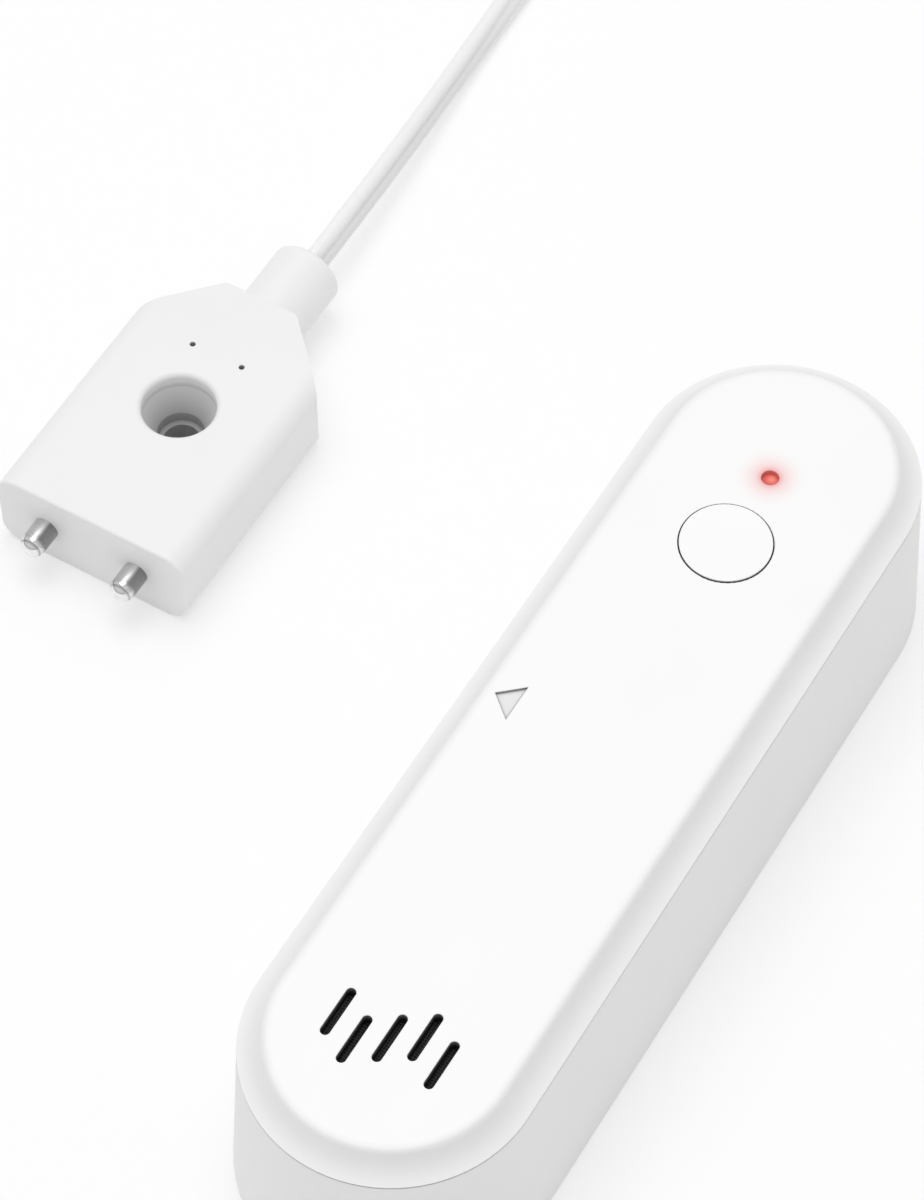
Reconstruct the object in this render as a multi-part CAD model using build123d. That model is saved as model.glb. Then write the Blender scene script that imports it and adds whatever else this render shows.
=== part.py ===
from build123d import *
import math
import os

# Water leak sensor: a battery main unit with a siren, and a wired probe that lies beside it.
# Millimetres. X is across, Y runs along both pieces, Z is up, and the floor is Z = 0.
# The origin is on the floor under the middle of the main unit.

os.makedirs("parts", exist_ok=True)

# Shared values
CUT = 1.0  # overrun of a cutting tool past the face that it cuts
FIT = 0.3  # running clearance between separate pieces
SNUG = 0.1  # clearance of a piece seated in another
REACH = 0.01  # how near a height an edge counts as lying at it
EDGE = 0.2  # small rounding on moulded edges

# Main unit outline, a stadium along Y
HALF_STRAIGHT = 46.0
FOOT_R = 19.0  # half width on the floor
LIP_R = 17.6  # half width at the top of the base
WALL = 1.5
FLOOR_T = 2.4
FOOT_ROUND = 0.6
LIP_ROUND = 0.08
LIP_T = 0.5  # thin lip of the base that stands round the cover's flange
PARTING_Z = 25.0  # top of the base lip
PARTING_GAP = 0.1

# Top cover
RIM_RISE = 0.3  # rim above the base lip
RIM_EDGE = 0.12
RIM_SLOPE = 25.0  # degrees from level, where the band meets the rim
BAND_DROP = 3.0  # from the plateau down to the rim
SHOULDER_R = 0.9
SHOULDER_SLOPE = 62.0  # degrees from level, at the foot of the shoulder
ROOF_INSET = 1.2  # from the plateau's edge to the flat underside
HOLE_ROUND = 0.12
COVER_T = 1.8
FLANGE_T = 1.1
TONGUE_T = 1.2
TONGUE_H = 2.0
COVER_R = LIP_R  # the cover's rim lies on the base lip, flush with the wall
FLANGE_R = LIP_R - LIP_T - PARTING_GAP
RIM_Z = PARTING_Z + RIM_RISE
TOP_Z = RIM_Z + BAND_DROP
STEEP = math.radians(SHOULDER_SLOPE)
SHALLOW = math.radians(RIM_SLOPE)
SHOULDER_FALL = SHOULDER_R * (1 - math.cos(STEEP))
COVE_R = (BAND_DROP - SHOULDER_FALL) / (math.cos(SHALLOW) - math.cos(STEEP))
COVE_W = COVE_R * (math.sin(STEEP) - math.sin(SHALLOW))
SHOULDER_W = SHOULDER_R * math.sin(STEEP)
PLATEAU_R = COVER_R - RIM_EDGE * (1 - math.sin(SHALLOW)) - COVE_W - SHOULDER_W
UNDER_Z = TOP_Z - COVER_T
FLANGE_Z = RIM_Z - FLANGE_T
BASE_IN_R = LIP_R - WALL
TONGUE_R = BASE_IN_R - FIT

# Seal between the cover and the base
SEAL_T = 0.8
SEAL_MARGIN = 0.2
SHELF_Z = FLANGE_Z - SEAL_T

# Sound slots, five in a zigzag
SLOT_COUNT = 5
SLOT_PITCH = 3.38
SLOT_LENGTH = 5.57  # between the centres of its round ends
SLOT_W = 1.2
SLOT_PAST_END = 0.52
SLOT_Y = -HALF_STRAIGHT - SLOT_PAST_END
SLOT_SHIFT = 2.1
SLOT_SHIFT_SHARES = (0.0, -1.0, 0.0, 1.0, 0.0)

# Sunk triangle mark
MARK_BASE = 5.28
MARK_DEPTH = 3.0
MARK_SINK = 0.4
MARK_X = -10.14
MARK_Y = -0.56

# Push button
BUTTON_FROM_END = 13.8
BUTTON_Y = HALF_STRAIGHT - BUTTON_FROM_END
BUTTON_R = 5.7
BUTTON_GAP = 0.16
BUTTON_RISE = 0.15  # its top stands a little proud of the cover
BUTTON_WALL = 1.2
BUTTON_FLANGE_W = 1.3
BUTTON_FLANGE_T = 1.0
BUTTON_TRAVEL = 0.5
STEM_R = 1.7
BUTTON_LOW_Z = UNDER_Z - FIT - BUTTON_FLANGE_T

# Status light
LIGHT_FROM_END = 2.5
LIGHT_Y = HALF_STRAIGHT - LIGHT_FROM_END
LIGHT_HOLE_R = 1.1
LIGHT_SINK = 0.7
GUIDE_FIT = 0.04
GUIDE_FLANGE_W = 1.2
GUIDE_FLANGE_T = 0.8
LED_R = 1.5
LED_FOOT_R = 1.8
LED_FOOT_T = 0.8
LED_H = 4.6

# Cells and their bay
CELL_R = 5.25
CELL_LENGTH = 43.7
NUB_R = 1.9
NUB_LENGTH = 0.8
CELL_GAP = 0.4
CELL_SIDE_GAP = 0.5
CELL_LIFT = 0.2
PLUS_SPACE = 1.4
MINUS_SPACE = 3.4
BAY_WALL = 1.2
CELL_X = CELL_R + CELL_GAP / 2
CELL_Z = FLOOR_T + CELL_LIFT + CELL_R
BAY_X = CELL_X + CELL_R + CELL_SIDE_GAP
BAY_Y = (CELL_LENGTH + NUB_LENGTH + PLUS_SPACE + MINUS_SPACE) / 2

# Cell contacts
CONTACT_T = 0.3
CONTACT_W = 7.0
CONTACT_H = 8.0
CONTACT_TOUCH = 0.1
DIMPLE_R = 1.6
LEAF_W = 4.0
LEAF_H = 7.0
TAIL_W = 1.5

# Battery door
DOOR_T = 1.2
DOOR_RECESS = 1.6
DOOR_LIFT = 0.3
DOOR_LEDGE = 1.2
PEG_R = 0.6
PEG_LENGTH = 1.0
PEG_FIT = 0.08
DOOR_RIB_W = 1.2
DOOR_RIB_LENGTH = 30.0
NOTCH_R = 4.0
NOTCH_W = 1.6
NOTCH_DEPTH = 1.2
DOOR_X = BAY_X + DOOR_LEDGE - FIT
DOOR_Y = BAY_Y + DOOR_LEDGE - FIT
DOOR_Z = DOOR_LIFT
HINGE_Y = -DOOR_Y + DOOR_T / 2
HINGE_Z = DOOR_Z + DOOR_T / 2

# Circuit board and its posts
BOARD_T = 1.6
BOARD_GAP = 0.5
BOARD_LIFT = 0.5
POST_R = 2.3
POST_X = BAY_X + BAY_WALL
POST_FROM_END = 12.0
POST_Y = HALF_STRAIGHT - POST_FROM_END
BAY_TOP_Z = CELL_Z + CELL_R + CELL_LIFT
BOARD_Z = BAY_TOP_Z + BOARD_LIFT
BOARD_TOP_Z = BOARD_Z + BOARD_T
BOARD_R = BASE_IN_R - BOARD_GAP

# Screws
CASE_SHANK_R = 1.1
CASE_HEAD_R = 2.0
CASE_HEAD_H = 1.6
CASE_SEAT_Z = 6.0
CASE_BITE = 6.0
SINK_R = 2.3
BOSS_R = 3.1
COVER_BOSS_R = 2.5
BOSS_GAP = 0.3
BOARD_SHANK_R = 0.9
BOARD_HEAD_R = 1.7
BOARD_HEAD_H = 1.2
BOARD_BITE = 5.0
CROSS_W = 0.5
CROSS_SHARE = 1.3
BOSS_ORBIT = BASE_IN_R - COVER_BOSS_R - 2 * FIT
BOSS_X = BOSS_ORBIT * math.sin(math.radians(45))
BOSS_Y = HALF_STRAIGHT + BOSS_ORBIT * math.cos(math.radians(45))
BOSS_TOP_Z = BOARD_Z - BOSS_GAP

# Tactile switch
SWITCH_W = 6.0
SWITCH_H = 3.8
PLUNGER_R = 1.7
PLUNGER_NECK_R = 1.2
PLUNGER_SINK = 1.4
PLUNGER_REACH = 7.4
PLUNGER_Z = BOARD_TOP_Z + PLUNGER_REACH
SWITCH_TOP_Z = BOARD_TOP_Z + SWITCH_H

# Sounder
SOUNDER_R = 9.6
SOUNDER_WALL = 1.1
SOUNDER_STEP = 1.0
SOUNDER_ROOF = 1.2
SOUNDER_CHAMBER = 2.0
SOUNDER_HOLE_R = 1.6
PLATE_T = 0.3
CERAMIC_T = 0.25
CERAMIC_R = 6.2
FOAM_T = 1.0
FOAM_W = 1.6
MESH_T = 0.3
MESH_R = 9.4
MESH_Z = UNDER_Z - MESH_T
FOAM_Z = MESH_Z - FOAM_T
SOUNDER_H = FOAM_Z - BOARD_TOP_Z

# Jack socket for the probe lead
JACK_R = 1.25
JACK_LENGTH = 11.0
JACK_FIT = 0.05
SOCKET_W = 6.0
SOCKET_H = 5.2
SOCKET_LENGTH = 11.5
SOCKET_NOSE_R = 2.4
SOCKET_CHAMBER_LENGTH = 7.0
SOCKET_CHAMBER_W = 3.6
SOCKET_LEAF_T = 0.3
SOCKET_Y = MARK_Y
SOCKET_Z = BOARD_TOP_Z + SOCKET_H / 2

# Other parts on the board
RADIO_W = 14.0
RADIO_LENGTH = 18.0
RADIO_T = 0.8
SHIELD_MARGIN = 1.2
SHIELD_H = 2.4
SHIELD_ROUND = 0.8
RADIO_X_SHARE = 0.36
RADIO_Y_SHARE = -0.40
CHIP_W = 7.0
CHIP_T = 1.1
CHIP_X_SHARE = 0.36
CHIP_Y_SHARE = 0.06
COIL_R = 4.0
COIL_H = 5.5
COIL_CORE_R = 1.6
COIL_FLANGE_T = 0.8
COIL_Y_SHARE = -0.50
CAP_R = 2.5
CAP_H = 7.0
CAP_Y_SHARES = (0.34, 0.50)
SMALL_LENGTH = 2.0
SMALL_W = 1.25
SMALL_T = 0.6
SMALL_GAP = 0.2
SMALL_PITCH_X = 3.1
SMALL_PITCH_Y = 4.6
SMALL_COLUMNS = 3
SMALL_ROWS = 2
RADIO_SMALL_Y_SHARES = (-0.30, -0.42, -0.54)
LIGHT_SMALL_SHARES = ((-2.0, 0.0), (2.0, 0.0), (2.0, -1.6))  # of the light's foot
AERIAL_R = 0.4
AERIAL_X_SHARE = 0.80
AERIAL_START_SHARE = -0.10
AERIAL_END_SHARE = 0.55
AERIAL_RISE = 4.0
AERIAL_BEND = 1.6

# Probe block
PROBE_X = -75.3
PROBE_FRONT_Y = 4.8
PROBE_LENGTH = 41.3
PROBE_W = 28.0
PROBE_H = 12.5
PROBE_ROUND = 3.0
PROBE_BACK_W = 10.6
PROBE_CUT_LENGTH = 9.1
PROBE_EDGE = 0.35
PROBE_CORNER_ROUND = 1.05
PROBE_WALL = 2.2
PROBE_ROOF = 2.0
PROBE_PLATE_T = 1.5
PROBE_PLATE_LIFT = 0.2
PROBE_LEDGE = 0.9
PROBE_BACK_Y = PROBE_FRONT_Y + PROBE_LENGTH
PROBE_MID_Z = PROBE_H / 2

# Stepped screw hole in the probe
HOLE_Y = 26.0
HOLE_TOP_R = 4.85
HOLE_EDGE = 0.8
HOLE_TOP_DEPTH = 2.4
HOLE_MID_R = 3.1
HOLE_CONE_DEPTH = 3.4
HOLE_MID_DEPTH = 1.6
HOLE_R = 2.4
HOLE_BOSS_R = 6.8

# Tiny blind holes behind it
WITNESS_Y = 35.2
WITNESS_SPACING = 7.45
WITNESS_R = 0.4
WITNESS_DEPTH = 1.4

# Pins, crimps and inner leads
PIN_R = 1.7
PIN_SPACING = 13.5
PIN_TIP_Y = 0.2
PIN_BACK_Y = 17.0
CRIMP_R = 1.9
CRIMP_LENGTH = 4.0
LEAD_R = 0.8

# Strain relief collar
COLLAR_R = 4.85
COLLAR_LENGTH = 11.2
COLLAR_ROUND = 0.7
COLLAR_NECK_R = 3.4
COLLAR_FLANGE_R = 4.1
COLLAR_FLANGE_T = 1.5
COLLAR_END_Y = PROBE_BACK_Y + COLLAR_LENGTH
COLLAR_BACK_Y = PROBE_BACK_Y - PROBE_WALL - COLLAR_FLANGE_T

# Flat twin lead
CORE_R = 1.0  # outside of one insulated core
CORE_SPACING = 1.8
CORD_W = CORE_SPACING + 2 * CORE_R
CORNER_SHARE = 0.45  # share of the shorter run that an arc of the route takes

# Coil of the length that is put away, wound flat in two layers
COIL_CENTRE = (-50.4, 182.0)
COIL_OUTER_R = 29.3
COIL_PITCH = 4.4
COIL_LAYER_GAP = 0.7
COIL_HALF_TURNS_IN = 6
COIL_HALF_TURNS_OUT = 5
TIE_T = 0.5
TIE_GAP = 0.15
TIE_W = 8.0
COIL_LOW_Z = TIE_T + TIE_GAP + CORE_R
COIL_HIGH_Z = COIL_LOW_Z + 2 * CORE_R + COIL_LAYER_GAP

# Free stretch of the lead, from the collar to the coil
CORD_ROUTE = (
    (-75.3, 57.3, 6.25),
    (-75.3, 67.0, 6.25),
    (-76.2, 84.0, 4.6),
    (-78.0, 106.0, 1.95),
    (-79.0, 130.0, 1.2),
    (-80.6, 150.0, 1.3),
    (-79.7, 166.0, 1.65),
    (-79.7, 178.2, 1.65),
)

# Plug on the far end
TAIL_LENGTH = 20.0
RELIEF_LENGTH = 8.0
RELIEF_END_R = 2.2
RELIEF_R = 2.9
HANDLE_R = 4.2
HANDLE_LENGTH = 16.0
HANDLE_ROUND = 0.8
TIP_LENGTH = 3.0
TIP_NECK_R = 0.85
RING_LENGTH = 0.6


def disc(radius, low, high, x=0.0, y=0.0):
    """Upright cylinder between two heights."""
    return Pos(x, y, (low + high) / 2) * Cylinder(radius, high - low)


def rod_x(radius, start, end, y, z):
    """Cylinder along X."""
    return Pos((start + end) / 2, y, z) * Rot(0, 90, 0) * Cylinder(radius, end - start)


def rod_y(radius, start, end, x, z):
    """Cylinder along Y."""
    return Pos(x, (start + end) / 2, z) * Rot(90, 0, 0) * Cylinder(radius, end - start)


def block(x0, x1, y0, y1, z0, z1):
    """Box between two corners."""
    centre = Pos((x0 + x1) / 2, (y0 + y1) / 2, (z0 + z1) / 2)
    return centre * Box(x1 - x0, y1 - y0, z1 - z0)


def wall_r(z):
    """Outer half width of the base at a height."""
    return FOOT_R + (LIP_R - FOOT_R) * z / PARTING_Z


def around(profile):
    """Carry a half section, drawn as (half width, height), round the stadium outline."""
    half = Plane.XZ * profile
    end = revolve(Pos(0, HALF_STRAIGHT, 0) * half, Axis((0, HALF_STRAIGHT, 0), (0, 0, 1)), 180)
    side = extrude(Pos(0, -HALF_STRAIGHT, 0) * half, 2 * HALF_STRAIGHT, dir=(0, 1, 0))
    quarter = end + side
    return quarter + Rot(0, 0, 180) * quarter


def stadium(radius, low, high):
    """Flat stadium plate between two heights."""
    outline = SlotCenterToCenter(2 * HALF_STRAIGHT, 2 * radius, rotation=90)
    return extrude(Pos(0, 0, low) * outline, high - low)


def corners():
    """The four case screw places."""
    return [(sx * BOSS_X, sy * BOSS_Y) for sx in (-1, 1) for sy in (-1, 1)]


def post_places():
    """The four board screw places."""
    return [(sx * POST_X, sy * POST_Y) for sx in (-1, 1) for sy in (-1, 1)]


def cross_recess(radius, low, high, x, y):
    """Cross slot of a screw head."""
    arm = radius / CROSS_SHARE
    long_arm = block(x - arm, x + arm, y - CROSS_W / 2, y + CROSS_W / 2, low, high)
    return long_arm + block(x - CROSS_W / 2, x + CROSS_W / 2, y - arm, y + arm, low, high)


def near(shape, z):
    """Edges of a shape that lie wholly at one height."""
    return shape.edges().filter_by_position(Axis.Z, z - REACH, z + REACH)


# Main unit housing


def base_profile():
    shape = Polyline(
        (0, 0),
        (FOOT_R, 0),
        (wall_r(PARTING_Z), PARTING_Z),
        (LIP_R - LIP_T, PARTING_Z),
        (LIP_R - LIP_T, SHELF_Z),
        (BASE_IN_R, SHELF_Z),
        (wall_r(FLOOR_T) - WALL, FLOOR_T),
        (0, FLOOR_T),
        (0, 0),
    )
    face = make_face(shape)
    foot = face.vertices().sort_by_distance((FOOT_R, 0))[0]
    face = fillet(foot, FOOT_ROUND)
    lip = face.vertices().sort_by_distance((LIP_R, PARTING_Z))[0]
    return fillet(lip, LIP_ROUND)


def base_shell():
    shell = around(base_profile())
    bay = block(-BAY_X - BAY_WALL, BAY_X + BAY_WALL, -BAY_Y - BAY_WALL, BAY_Y + BAY_WALL, FLOOR_T, BAY_TOP_Z)
    shell += bay
    for x, y in corners():
        shell += disc(BOSS_R, FLOOR_T, BOSS_TOP_Z, x, y)
    for x, y in post_places():
        shell += disc(POST_R, FLOOR_T, BOARD_Z, x, y)
    shell -= block(-BAY_X, BAY_X, -BAY_Y, BAY_Y, -CUT, BAY_TOP_Z + CUT)
    shell -= block(-DOOR_X - FIT, DOOR_X + FIT, -DOOR_Y - FIT, DOOR_Y + FIT, -CUT, DOOR_RECESS)
    shell -= disc(NOTCH_R, -CUT, NOTCH_DEPTH, 0, DOOR_Y)
    for side in (-1, 1):
        end = side * (DOOR_X + FIT + PEG_LENGTH)
        start = side * DOOR_X
        shell -= rod_x(PEG_R + PEG_FIT, min(start, end), max(start, end), HINGE_Y, HINGE_Z)
    for x, y in corners():
        shell -= disc(SINK_R, -CUT, CASE_SEAT_Z, x, y)
        shell -= disc(CASE_SHANK_R + FIT / 2, CASE_SEAT_Z - CUT, BOSS_TOP_Z + CUT, x, y)
    for x, y in post_places():
        shell -= disc(BOARD_SHANK_R, BOARD_Z - BOARD_BITE, BOARD_Z + CUT, x, y)
    nose = rod_x(SOCKET_NOSE_R + PARTING_GAP, -FOOT_R - CUT, -BASE_IN_R + CUT, SOCKET_Y, SOCKET_Z)
    return shell - nose


def cover_profile():
    rim_low = RIM_Z - RIM_EDGE * math.cos(SHALLOW)
    rim_centre = (COVER_R - RIM_EDGE, rim_low)
    shoulder_centre = (PLATEAU_R, TOP_Z - SHOULDER_R)
    cove_out = SHOULDER_R + COVE_R
    cove_centre = (
        PLATEAU_R + cove_out * math.sin(STEEP),
        TOP_Z - SHOULDER_R + cove_out * math.cos(STEEP),
    )
    flat_start = (TONGUE_R - TONGUE_T, FLANGE_Z)
    roof_end = (PLATEAU_R - ROOF_INSET, UNDER_Z)
    outline = [
        Line((0, TOP_Z), (PLATEAU_R, TOP_Z)),
        CenterArc(shoulder_centre, SHOULDER_R, 90 - SHOULDER_SLOPE, SHOULDER_SLOPE),
        CenterArc(cove_centre, COVE_R, 270 - SHOULDER_SLOPE, SHOULDER_SLOPE - RIM_SLOPE),
        CenterArc(rim_centre, RIM_EDGE, 0, 90 - RIM_SLOPE),
        Polyline(
            (COVER_R, rim_low),
            (COVER_R, PARTING_Z + PARTING_GAP),
            (FLANGE_R, PARTING_Z + PARTING_GAP),
            (FLANGE_R, FLANGE_Z),
            (TONGUE_R, FLANGE_Z),
            (TONGUE_R, FLANGE_Z - TONGUE_H),
            (TONGUE_R - TONGUE_T, FLANGE_Z - TONGUE_H),
            flat_start,
            roof_end,
            (0, UNDER_Z),
            (0, TOP_Z),
        ),
    ]
    return make_face([edge for piece in outline for edge in piece.edges()])


def slot_places():
    """Centre of each sound slot."""
    middle = (SLOT_COUNT - 1) / 2
    places = []
    for index, share in enumerate(SLOT_SHIFT_SHARES):
        places.append(((index - middle) * SLOT_PITCH, SLOT_Y + share * SLOT_SHIFT))
    return places


def cover_bosses():
    """Screw bosses under the cover, kept within its skin."""
    side = TONGUE_R - TONGUE_T / 2
    skin = Polyline(
        (0, BOSS_TOP_Z),
        (side, BOSS_TOP_Z),
        (side, FLANGE_Z),
        (PLATEAU_R - COVER_T / 2, TOP_Z - COVER_T / 2),
        (0, TOP_Z - COVER_T / 2),
        (0, BOSS_TOP_Z),
    )
    within = around(make_face(skin))
    return [disc(COVER_BOSS_R, BOSS_TOP_Z, TOP_Z, x, y) & within for x, y in corners()]


def top_cover():
    cover = around(cover_profile())
    for boss in cover_bosses():
        cover += boss
    for x, y in corners():
        cover -= disc(CASE_SHANK_R, BOSS_TOP_Z - CUT, BOSS_TOP_Z + CASE_BITE + CUT, x, y)
    cover -= disc(BUTTON_R + BUTTON_GAP, UNDER_Z - CUT, TOP_Z + CUT, 0, BUTTON_Y)
    cover -= disc(LIGHT_HOLE_R, UNDER_Z - CUT, TOP_Z + CUT, 0, LIGHT_Y)
    for x, y in slot_places():
        slot = SlotCenterToCenter(SLOT_LENGTH, SLOT_W, rotation=90)
        cover -= extrude(Pos(x, y, UNDER_Z - CUT) * slot, COVER_T + 2 * CUT)
    mark = Polyline(
        (MARK_X, MARK_Y - MARK_BASE / 2),
        (MARK_X, MARK_Y + MARK_BASE / 2),
        (MARK_X - MARK_DEPTH, MARK_Y),
        (MARK_X, MARK_Y - MARK_BASE / 2),
    )
    cover -= extrude(Pos(0, 0, TOP_Z - MARK_SINK) * make_face(mark), MARK_SINK + CUT)
    rim_length = 2 * math.pi * (BUTTON_R + 2 * BUTTON_GAP)
    rims = [edge for edge in near(cover, TOP_Z) if edge.length < rim_length]
    return fillet(rims, HOLE_ROUND)


def cover_seal():
    inner = BASE_IN_R + SEAL_MARGIN
    outer = FLANGE_R - SEAL_MARGIN
    return stadium(outer, SHELF_Z, FLANGE_Z) - stadium(inner, SHELF_Z - CUT, FLANGE_Z + CUT)


def case_screws():
    screws = []
    for x, y in corners():
        head = disc(CASE_HEAD_R, CASE_SEAT_Z - CASE_HEAD_H, CASE_SEAT_Z, x, y)
        low = CASE_SEAT_Z - CASE_HEAD_H
        head -= cross_recess(CASE_HEAD_R, low - CUT, low + CASE_HEAD_H / 2, x, y)
        screws.append(head + disc(CASE_SHANK_R, CASE_SEAT_Z, BOSS_TOP_Z + CASE_BITE, x, y))
    return screws


# Button, switch and light


def push_button():
    top = TOP_Z + BUTTON_RISE
    cap = disc(BUTTON_R, BUTTON_LOW_Z, top, 0, BUTTON_Y)
    cap = fillet(near(cap, top), HOLE_ROUND)
    cap += disc(BUTTON_R + BUTTON_FLANGE_W, BUTTON_LOW_Z, BUTTON_LOW_Z + BUTTON_FLANGE_T, 0, BUTTON_Y)
    cap -= disc(BUTTON_R - BUTTON_WALL, BUTTON_LOW_Z - CUT, TOP_Z - BUTTON_WALL, 0, BUTTON_Y)
    return cap + disc(STEM_R, PLUNGER_Z + FIT, TOP_Z - BUTTON_WALL, 0, BUTTON_Y)


def switch_body():
    half = SWITCH_W / 2
    body = block(-half, half, BUTTON_Y - half, BUTTON_Y + half, BOARD_TOP_Z, SWITCH_TOP_Z)
    well = PLUNGER_NECK_R + FIT / 2
    return body - disc(well, SWITCH_TOP_Z - PLUNGER_SINK, SWITCH_TOP_Z + CUT, 0, BUTTON_Y)


def switch_plunger():
    low = SWITCH_TOP_Z - PLUNGER_SINK + BUTTON_TRAVEL + FIT
    shoulder = SWITCH_TOP_Z + BUTTON_TRAVEL + FIT
    neck = disc(PLUNGER_NECK_R, low, shoulder, 0, BUTTON_Y)
    return neck + disc(PLUNGER_R, shoulder, PLUNGER_Z, 0, BUTTON_Y)


def status_led():
    foot = disc(LED_FOOT_R, BOARD_TOP_Z, BOARD_TOP_Z + LED_FOOT_T, 0, LIGHT_Y)
    dome_z = BOARD_TOP_Z + LED_H - LED_R
    lens = disc(LED_R, BOARD_TOP_Z + LED_FOOT_T, dome_z, 0, LIGHT_Y)
    return foot + lens + Pos(0, LIGHT_Y, dome_z) * Sphere(LED_R)


def light_guide():
    top = TOP_Z - LIGHT_SINK
    rod = disc(LIGHT_HOLE_R - GUIDE_FIT, BOARD_TOP_Z + LED_H + FIT, top, 0, LIGHT_Y)
    collar = disc(LIGHT_HOLE_R + GUIDE_FLANGE_W, UNDER_Z - GUIDE_FLANGE_T, UNDER_Z, 0, LIGHT_Y)
    return rod + collar


# Sounder


def sounder_case():
    top = BOARD_TOP_Z + SOUNDER_H
    case = disc(SOUNDER_R, BOARD_TOP_Z, top, 0, SLOT_Y)
    step_z = sounder_step_z()
    case -= disc(SOUNDER_R - SOUNDER_WALL, BOARD_TOP_Z - CUT, step_z, 0, SLOT_Y)
    chamber_r = SOUNDER_R - SOUNDER_WALL - SOUNDER_STEP
    case -= disc(chamber_r, step_z - CUT, top - SOUNDER_ROOF, 0, SLOT_Y)
    return case - disc(SOUNDER_HOLE_R, top - SOUNDER_ROOF - CUT, top + CUT, 0, SLOT_Y)


def sounder_step_z():
    return BOARD_TOP_Z + SOUNDER_H - SOUNDER_ROOF - SOUNDER_CHAMBER


def sounder_plate():
    radius = SOUNDER_R - SOUNDER_WALL - SNUG
    return disc(radius, sounder_step_z() - PLATE_T, sounder_step_z(), 0, SLOT_Y)


def sounder_ceramic():
    top = sounder_step_z() - PLATE_T
    return disc(CERAMIC_R, top - CERAMIC_T, top, 0, SLOT_Y)


def sounder_foam():
    ring = disc(SOUNDER_R - SNUG, FOAM_Z, MESH_Z, 0, SLOT_Y)
    return ring - disc(SOUNDER_R - FOAM_W, FOAM_Z - CUT, MESH_Z + CUT, 0, SLOT_Y)


def sound_mesh():
    return disc(MESH_R, MESH_Z, UNDER_Z, 0, SLOT_Y)


# Circuit board and what it carries


def circuit_board():
    board = stadium(BOARD_R, BOARD_Z, BOARD_TOP_Z)
    for x, y in corners():
        board -= disc(COVER_BOSS_R + FIT, BOARD_Z - CUT, BOARD_TOP_Z + CUT, x, y)
    for x, y in post_places():
        board -= disc(BOARD_SHANK_R + FIT / 2, BOARD_Z - CUT, BOARD_TOP_Z + CUT, x, y)
    return board


def board_screws():
    screws = []
    for x, y in post_places():
        head = disc(BOARD_HEAD_R, BOARD_TOP_Z, BOARD_TOP_Z + BOARD_HEAD_H, x, y)
        high = BOARD_TOP_Z + BOARD_HEAD_H
        head -= cross_recess(BOARD_HEAD_R, high - BOARD_HEAD_H / 2, high + CUT, x, y)
        screws.append(head + disc(BOARD_SHANK_R, BOARD_Z - BOARD_BITE, BOARD_TOP_Z, x, y))
    return screws


def board_place(x_share, y_share):
    """A place on the board from shares of its half width and half straight."""
    return x_share * BOARD_R, y_share * HALF_STRAIGHT


def radio_module():
    x, y = board_place(RADIO_X_SHARE, RADIO_Y_SHARE)
    half_w = RADIO_W / 2
    half_l = RADIO_LENGTH / 2
    return block(x - half_w, x + half_w, y - half_l, y + half_l, BOARD_TOP_Z, BOARD_TOP_Z + RADIO_T)


def radio_shield():
    x, y = board_place(RADIO_X_SHARE, RADIO_Y_SHARE)
    half_w = RADIO_W / 2 - SHIELD_MARGIN
    half_l = RADIO_LENGTH / 2 - SHIELD_MARGIN
    low = BOARD_TOP_Z + RADIO_T
    can = block(x - half_w, x + half_w, y - half_l, y + half_l, low, low + SHIELD_H)
    return fillet(can.edges().filter_by(Axis.Z), SHIELD_ROUND)


def processor_chip():
    x, y = board_place(CHIP_X_SHARE, CHIP_Y_SHARE)
    half = CHIP_W / 2
    return block(x - half, x + half, y - half, y + half, BOARD_TOP_Z, BOARD_TOP_Z + CHIP_T)


def small_column_x():
    """X of the small chips that stand between the radio and the coil."""
    return board_place(RADIO_X_SHARE, RADIO_Y_SHARE)[0] - RADIO_W / 2 - SMALL_GAP - SMALL_LENGTH / 2


def coil_place():
    x = small_column_x() - SMALL_LENGTH / 2 - SMALL_GAP - COIL_R
    return x, board_place(0, COIL_Y_SHARE)[1]


def sounder_coil():
    x, y = coil_place()
    low = BOARD_TOP_Z
    high = BOARD_TOP_Z + COIL_H
    core = disc(COIL_CORE_R, low, high, x, y)
    core += disc(COIL_R, low, low + COIL_FLANGE_T, x, y)
    return core + disc(COIL_R, high - COIL_FLANGE_T, high, x, y)


def coil_winding():
    x, y = coil_place()
    low = BOARD_TOP_Z + COIL_FLANGE_T
    high = BOARD_TOP_Z + COIL_H - COIL_FLANGE_T
    return disc(COIL_R - FIT, low, high, x, y) - disc(COIL_CORE_R, low - CUT, high + CUT, x, y)


def capacitors():
    cans = []
    for y_share in CAP_Y_SHARES:
        x = coil_place()[0]
        y = board_place(0, y_share)[1]
        can = disc(CAP_R, BOARD_TOP_Z, BOARD_TOP_Z + CAP_H, x, y)
        cans.append(fillet(near(can, BOARD_TOP_Z + CAP_H), EDGE))
    return cans


def small_places():
    """Centres of the small chips: by the radio, past the processor and round the light."""
    places = [(small_column_x(), board_place(0, share)[1]) for share in RADIO_SMALL_Y_SHARES]
    chip_x, chip_y = board_place(CHIP_X_SHARE, CHIP_Y_SHARE)
    for column in range(SMALL_COLUMNS):
        x = chip_x + (column - (SMALL_COLUMNS - 1) / 2) * SMALL_PITCH_X
        for row in range(SMALL_ROWS):
            places.append((x, chip_y + CHIP_W / 2 + (row + 1) * SMALL_PITCH_Y))
    for x_share, y_share in LIGHT_SMALL_SHARES:
        places.append((x_share * LED_FOOT_R, LIGHT_Y + y_share * LED_FOOT_R))
    return places


def small_chips():
    half_l = SMALL_LENGTH / 2
    half_w = SMALL_W / 2
    top = BOARD_TOP_Z + SMALL_T
    return [
        block(x - half_l, x + half_l, y - half_w, y + half_w, BOARD_TOP_Z, top) for x, y in small_places()
    ]


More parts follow.
